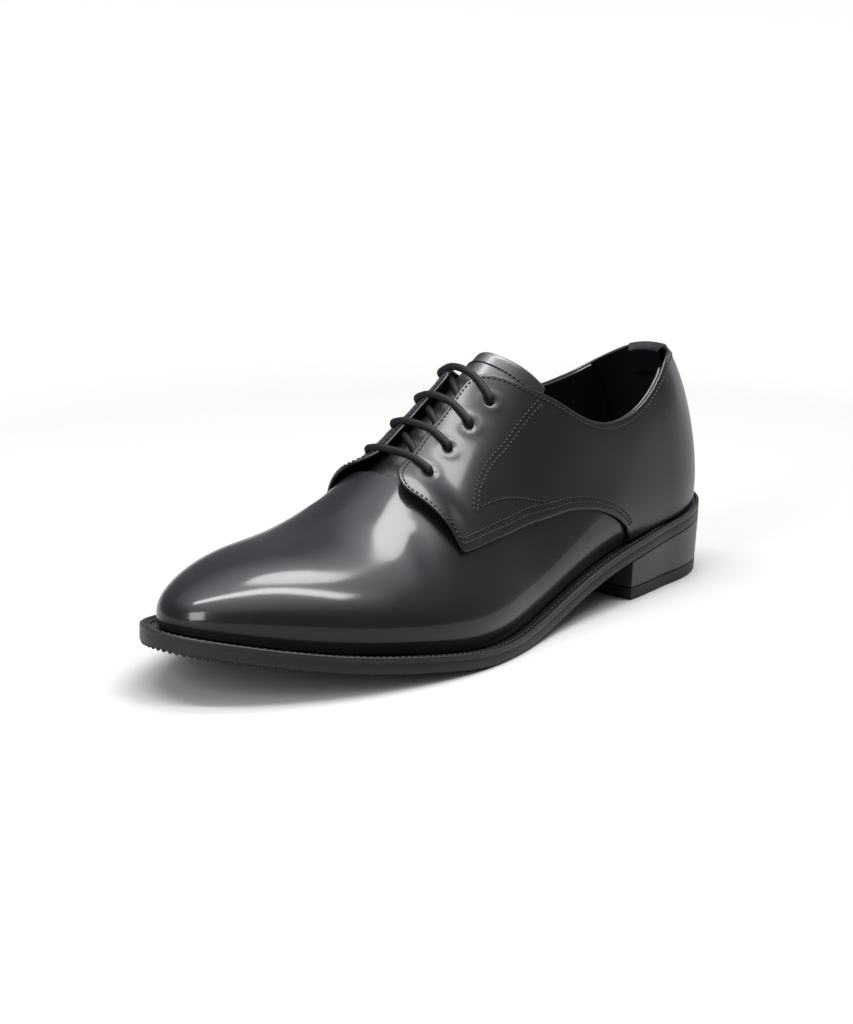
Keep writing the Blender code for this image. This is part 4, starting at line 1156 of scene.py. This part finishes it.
WELT_RIM = 0.0011  # width of the welt's raised rim
WELT_RECESS = 0.0009  # depth of the groove between that rim and the upper
WELT_SLOPE = 0.0004  # width of that groove's sloping side
WELT_ROW = 0.0031  # the welt's stitches lie this far inside its edge
WELT_STITCH = (0.0023, 0.0009)
WELT_PITCH = 0.0027
WELT_ROW_START = 0.18  # station
KNURL_ROWS = (0.0010, 0.0034)  # the knurled rows of the tread lie this far inside its edge
KNURL = (0.0016, 0.0014)  # a knob's length and thickness
KNURL_PITCH = 0.0026
KNURL_START = 0.80  # station
ROW_LIFT = 0.0001  # how far over the surface a row's middle line lies
TREAD_ROUNDING = 0.0006
SEAM_ROUNDING = 0.00006  # of the fine line between the outsole and the welt
WELT_ROUNDING = 0.0005
SOLE_INSET = 0.006  # the layers' hidden faces end this far inside the edge
SEAM_INSET = 0.004
FLOOR_INSET = 0.012

seam_height = raised(underside, OUTSOLE_THICKNESS + CLEARANCE / 2.0)
welt_top = raised(underside, OUTSOLE_THICKNESS + CLEARANCE + WELT_THICKNESS)
welt_floor = raised(welt_top, -WELT_RECESS)


def edge_row(side, stations, inset, height, pitch, out):
    """A row beside the sole's edge. height: its height function. out: 1 upwards, -1 downwards."""
    x, y = outline(stations, side, sole_margin(stations) - inset)
    places = np.stack([x, y, height(along_of(x)) + ROW_LIFT], axis=-1)
    run = run_along(places)
    at = np.linspace(0.0, run[-1], int(run[-1] / pitch))
    places = np.stack([np.interp(at, run, places[:, k]) for k in range(3)], axis=-1)
    return places, np.tile((0.0, 0.0, out), (len(places), 1))


def add_sole():
    profile = [(SOLE_INSET, tread_height)] + corner(tread_height, TREAD_ROUNDING, 1)
    profile += corner(seam_height, SEAM_ROUNDING, -1, 1) + [(SEAM_INSET, seam_height)]
    new_piece("outsole_edge", layer("outsole_edge", profile), SOLE_EDGE, ("outsole",))
    profile = [(SEAM_INSET, seam_height)] + corner(seam_height, SEAM_ROUNDING, 1, 1)
    profile += corner(welt_top, WELT_ROUNDING, -1) + [(WELT_RIM, welt_top)]
    profile += [(WELT_RIM + WELT_SLOPE, welt_floor), (FLOOR_INSET, welt_floor)]
    new_piece("welt_edge", layer("welt_edge", profile), WELT_FINISH, ("welt",))
    stations = np.linspace(WELT_ROW_START, 1.0, 400)
    rows = [edge_row(side, stations, WELT_ROW, welt_floor, WELT_PITCH, 1.0) for side in (1.0, -1.0)]
    stitches("welt_stitches", rows, WELT_STITCH)


def add_tread_edge():
    """The knurled edge of the tread that shows under the toe."""
    stations = np.linspace(KNURL_START, 1.0, 160)
    rows = [edge_row(side, stations, inset, tread_height, KNURL_PITCH, -1.0)
            for inset in KNURL_ROWS for side in (1.0, -1.0)]
    stitches("tread_edge", rows, KNURL, RUBBER)


# Heel

HEEL_STEP = 0.0004  # height of the bevels at the heel's seams
HEEL_GROOVE = 0.0003  # depth of the groove between the heel and the outsole
LIFT_ROUNDING = 0.0005  # of the top lift's lower edge


def level(value):
    """A height that is the same all along."""
    def height(along):
        return np.full_like(along, value)

    return height


def add_heel_layer(name, rims, material, slot):
    """One layer, lofted between rims that end at the breast's straight edge."""
    rings = []
    for height_at_back, inset, height in rims:
        taper = HEEL_TAPER * (1.0 - height_at_back / HEEL_HEIGHT) + inset
        breast_x = HEEL_LENGTH / 2.0 - taper
        stations = fine_stations(float(station_of(along_of(breast_x))))
        loop = []
        for side in (1.0, -1.0):
            x, y = outline(stations, side, sole_margin(stations) - taper)
            x[-1] = breast_x
            loop.append(np.stack([x, y, height(along_of(x))], axis=-1))
        rings.append(np.concatenate([loop[0], loop[1][:0:-1]]))
    new_piece(name, stack_mesh(name, rings), material, (slot,), sharp=35.0)


def add_heel():
    foot = TOP_LIFT_THICKNESS + CLEARANCE
    seat = raised(underside, -CLEARANCE)
    rims = [(foot, HEEL_STEP, level(foot)), (foot, 0.0, level(foot + HEEL_STEP)),
            (HEEL_HEIGHT, 0.0, raised(seat, -HEEL_STEP)), (HEEL_HEIGHT, HEEL_GROOVE, seat)]
    add_heel_layer("heel_block", rims, HEEL_FINISH, "heel")
    top, bevel = TOP_LIFT_THICKNESS, 0.3 * LIFT_ROUNDING
    rims = [(0.0, LIFT_ROUNDING, level(0.0)), (0.0, bevel, level(bevel)), (0.0, 0.0, level(LIFT_ROUNDING)),
            (top, 0.0, level(top - HEEL_STEP)), (top, HEEL_STEP, level(top))]
    add_heel_layer("top_lift_edge", rims, RUBBER, "top_lift")


# Lace

def lace_route():
    """The lace's middle line: up beneath one facing, then bars above and slants beneath in turn."""
    under = -(UPPER_WALL + TONGUE_GAP) + CLEARANCE + LACE_DIAMETER / 2.0 + LACE_UNDER_GAP
    bend = LACE_DIAMETER / 2.0
    eyelets = {side: eyelet_places(side) for side in (1.0, -1.0)}

    def over(lift):
        return lift + QUARTER_WALL + LACE_DIAMETER / 2.0 + LACE_SEAT

    def turn(side, row, towards, level, sign):
        """Three points from a level run into the eyelet. sign: 1 above the facing, -1 beneath."""
        station, up, _ = (values[row] for values in eyelets[side])
        place, normal = form(station, up, side), form_normal(station, up, side)
        flat = towards - place
        flat = flat - normal * flat.dot(normal)
        flat = flat / np.linalg.norm(flat)
        return [place + flat * bend + normal * level,
                place + flat * bend * 0.3 + normal * (level - sign * bend * 0.3),
                place + normal * (level - sign * bend)]

    def beside_edge(side, station, inwards, level=None):
        """A place this far in from the facing's edge. level: above the form, or None for a bar's."""
        up = up_at(station, facing_out(station, side) + inwards, side)
        pressed = over(quarter_offset(station, up)) - LACE_PRESS
        return offset_form(station, up, side, pressed if level is None else level)

    last = len(EYELETS_LATERAL) - 1
    run = [beside_edge(-1.0, station, HIDDEN_RUN, under)
           for station in np.linspace(EYELETS_MEDIAL[last], EYELETS_MEDIAL[0] - HIDDEN_STOP, 9)]
    points = run + turn(-1.0, 0, run[-1], under, -1.0)
    for row in range(last + 1):
        right_station, left_station = eyelets[-1.0][0][row], eyelets[1.0][0][row]
        ahead = left_station - right_station
        bar = [beside_edge(-1.0, right_station + ahead * 0.25, 0.0),
               beside_edge(1.0, right_station + ahead * 0.65, 0.0)]
        points += turn(-1.0, row, bar[0], over(eyelets[-1.0][2][row]), 1.0)[::-1]
        points += bar
        points += turn(1.0, row, bar[1], over(eyelets[1.0][2][row]), 1.0)
        if row == last:
            break
        next_station = eyelets[-1.0][0][row + 1]
        edges = {1.0: eyelets[1.0][1][row], -1.0: eyelets[-1.0][1][row + 1]}
        slant = []
        for share, side in ((0.25, 1.0), (0.5, 1.0), (0.75, -1.0)):
            up = edges[side] + (1.0 - edges[side]) * (1.0 - abs(2.0 * share - 1.0))
            station = left_station + (next_station - left_station) * share
            slant.append(offset_form(station, up, side, under))
        points += turn(1.0, row, slant[0], under, -1.0)[::-1]
        points += slant
        points += turn(-1.0, row + 1, slant[-1], under, -1.0)
    points.append(offset_form(eyelets[1.0][0][last], eyelets[1.0][1][last], 1.0, under))
    return points


def add_lace():
    route = cut_corners(lace_route(), 2)
    curve = bpy.data.curves.new("lace_cord", "CURVE")
    curve.dimensions = "3D"
    curve.bevel_depth = LACE_DIAMETER / 2.0
    curve.bevel_resolution = 5
    curve.use_fill_caps = True
    line = curve.splines.new("POLY")
    line.points.add(len(route) - 1)
    for point, place in zip(line.points, route):
        point.co = (*place, 1.0)
    new_piece("lace_cord", curve, LACE_FINISH, ("lace",))


# Camera, floor and light

CAMERA_TURN = math.radians(50.85)  # from straight beside the shoe towards its toe
CAMERA_RISE = math.radians(13.62)
CAMERA_ROLL = math.radians(1.61)
CAMERA_DISTANCE = 0.9981
CAMERA_TARGET = Vector((0.1135, 0.0, 0.0300))
TARGET_PIXEL = (450.57, 546.44)  # where the picture shows it
FOCAL_PIXELS = 2535.34
PICTURE = (853.0, 1024.0)
SENSOR = 36.0  # millimetres
LIGHT_AIM = Vector((0.1135, 0.0, 0.0600))

# The soft boxes. right, up and near: direction from the aim, as the camera sees it. distance, width
# and height in metres. power in watts.
LIGHT_COLUMNS = ("name", "right", "up", "near", "distance", "width", "height", "power", "shape")
LIGHTS = (
    ("overhead", 0.04, 0.95, 0.04, 1.5, 2.00, 0.24, 42.0, "RECTANGLE"),
    ("overhead_soft", 0.16, 0.92, -0.30, 1.5, 0.80, 0.50, 17.0, "ELLIPSE"),
    ("window", -0.50, 0.38, 0.74, 1.3, 0.50, 0.80, 17.0, "RECTANGLE"),
    ("right_back", 0.80, 0.30, -0.80, 1.6, 0.50, 0.90, 1.5, "RECTANGLE"),
)

FLOOR_RADIUS = 12.0
# Painted light: the floor's colour is graded, darker under the shoe and lighter far off, to cancel the
# lamps' falloff so that the floor looks evenly bright.
FLOOR_NEAR = (0.30, 0.30, 0.287)  # its colour under the shoe, painted darker to cancel the lamps' pool of light there
FLOOR_FAR = (0.89, 0.89, 0.857)
FLOOR_BLEND = (0.4, 2.6)  # distances between which one turns into the other
DOME_COLOUR = (0.96, 0.96, 1.05, 1.0)
DOME_STRENGTH = (0.24, 2.60)  # low down and overhead
DOME_BLEND = (0.56, 0.98)  # heights on the unit dome between which one turns into the other


def place_object(name, data, right, up, back, place):
    """An object whose own X, Y and Z point right, up and back."""
    item = bpy.data.objects.new(name, data)
    rows = [(right[k], up[k], back[k], place[k]) for k in range(3)]
    item.matrix_world = Matrix((*rows, (0.0, 0.0, 0.0, 1.0)))
    bpy.context.scene.collection.objects.link(item)
    return item


def add_camera():
    """The photograph's camera. Gives its level direction to the right and its direction back."""
    flat, rise = math.cos(CAMERA_RISE), math.sin(CAMERA_RISE)
    back = Vector((math.sin(CAMERA_TURN) * flat, math.cos(CAMERA_TURN) * flat, rise))
    level = Vector((-math.cos(CAMERA_TURN), math.sin(CAMERA_TURN), 0.0))
    upright = back.cross(level).normalized()
    right = level * math.cos(CAMERA_ROLL) + upright * math.sin(CAMERA_ROLL)
    up = upright * math.cos(CAMERA_ROLL) - level * math.sin(CAMERA_ROLL)
    aside = (TARGET_PIXEL[0] - PICTURE[0] / 2.0) / FOCAL_PIXELS * CAMERA_DISTANCE
    above = (PICTURE[1] / 2.0 - TARGET_PIXEL[1]) / FOCAL_PIXELS * CAMERA_DISTANCE
    place = CAMERA_TARGET + back * CAMERA_DISTANCE - right * aside - up * above
    data = bpy.data.cameras.new("camera")
    data.lens = FOCAL_PIXELS * SENSOR / PICTURE[1]
    data.sensor_width = SENSOR
    data.clip_start = 0.01
    bpy.context.scene.camera = place_object("camera", data, right, up, back, place)
    return level, back


def add_lights(right, back):
    """Soft boxes round the shoe, placed from the camera's own directions."""
    near = Vector((back.x, back.y, 0.0)).normalized()
    for row in LIGHTS:
        box = dict(zip(LIGHT_COLUMNS, row))
        away = (right * box["right"] + Vector((0.0, 0.0, box["up"])) + near * box["near"]).normalized()
        light = bpy.data.lights.new(box["name"], "AREA")
        light.shape = box["shape"]
        light.size, light.size_y = box["width"], box["height"]
        light.energy = box["power"]
        side = (right - away * right.dot(away)).normalized()
        place_object(box["name"], light, side, away.cross(side), away, LIGHT_AIM + away * box["distance"])


def add_floor():
    """A pale floor, its colour painted darker round the shoe and lighter far off to even out the lamps'
    light on it.
    """
    material, shader, add, link = new_material("floor")
    place = add("ShaderNodeTexCoord")
    away = add("ShaderNodeVectorMath", operation="LENGTH")
    ramp = add("ShaderNodeMapRange", From_Min=FLOOR_BLEND[0], From_Max=FLOOR_BLEND[1])
    link(place.outputs["Object"], away.inputs[0])
    link(away.outputs["Value"], ramp.inputs["Value"])
    blend(shader, add, link, ramp.outputs["Result"], FLOOR_NEAR, FLOOR_FAR)
    shader.inputs["Roughness"].default_value = 0.9
    shader.inputs["Specular IOR Level"].default_value = 0.1
    mesh = bpy.data.meshes.new("floor")
    work = bmesh.new()
    bmesh.ops.create_circle(work, cap_ends=True, segments=96, radius=FLOOR_RADIUS)
    work.to_mesh(mesh)
    work.free()
    mesh.materials.append(material)
    floor = bpy.data.objects.new("floor", mesh)
    bpy.context.scene.collection.objects.link(floor)


def add_world():
    """A dome that is bright overhead and dim near the horizon."""
    world = bpy.data.worlds.new("studio")
    world.use_nodes = True
    tree = world.node_tree
    add, link = adder(tree), tree.links.new
    background = tree.nodes["Background"]
    background.inputs["Color"].default_value = DOME_COLOUR
    place = add("ShaderNodeTexCoord")
    parts = add("ShaderNodeSeparateXYZ")
    ramp = add("ShaderNodeMapRange", interpolation_type="SMOOTHSTEP", From_Min=DOME_BLEND[0],
               From_Max=DOME_BLEND[1], To_Min=DOME_STRENGTH[0], To_Max=DOME_STRENGTH[1])
    link(place.outputs["Generated"], parts.inputs[0])
    link(parts.outputs["Z"], ramp.inputs["Value"])
    link(ramp.outputs["Result"], background.inputs["Strength"])
    bpy.context.scene.world = world
    view = bpy.context.scene.view_settings
    view.view_transform = "Standard"
    view.look = "None"


def main():
    add_lights(*add_camera())
    add_upper()
    # Each quarter gets its eyelet holes as discs of painted shade.
    for side, word in ((1.0, "lateral"), (-1.0, "medial")):
        add_quarter("quarter_" + word + "_leather", side)
        add_quarter_stitches("quarter_" + word + "_stitches", side)
        add_eyelet_hole_shades("quarter_" + word + "_hole_shades", side)
    add_tongue()
    add_heel_tab()
    add_lace()
    add_sole()
    add_tread_edge()
    add_heel()
    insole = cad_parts["insole"]
    insole.data.materials.clear()
    insole.data.materials.append(FOOTBED)
    add_floor()
    add_world()


main()
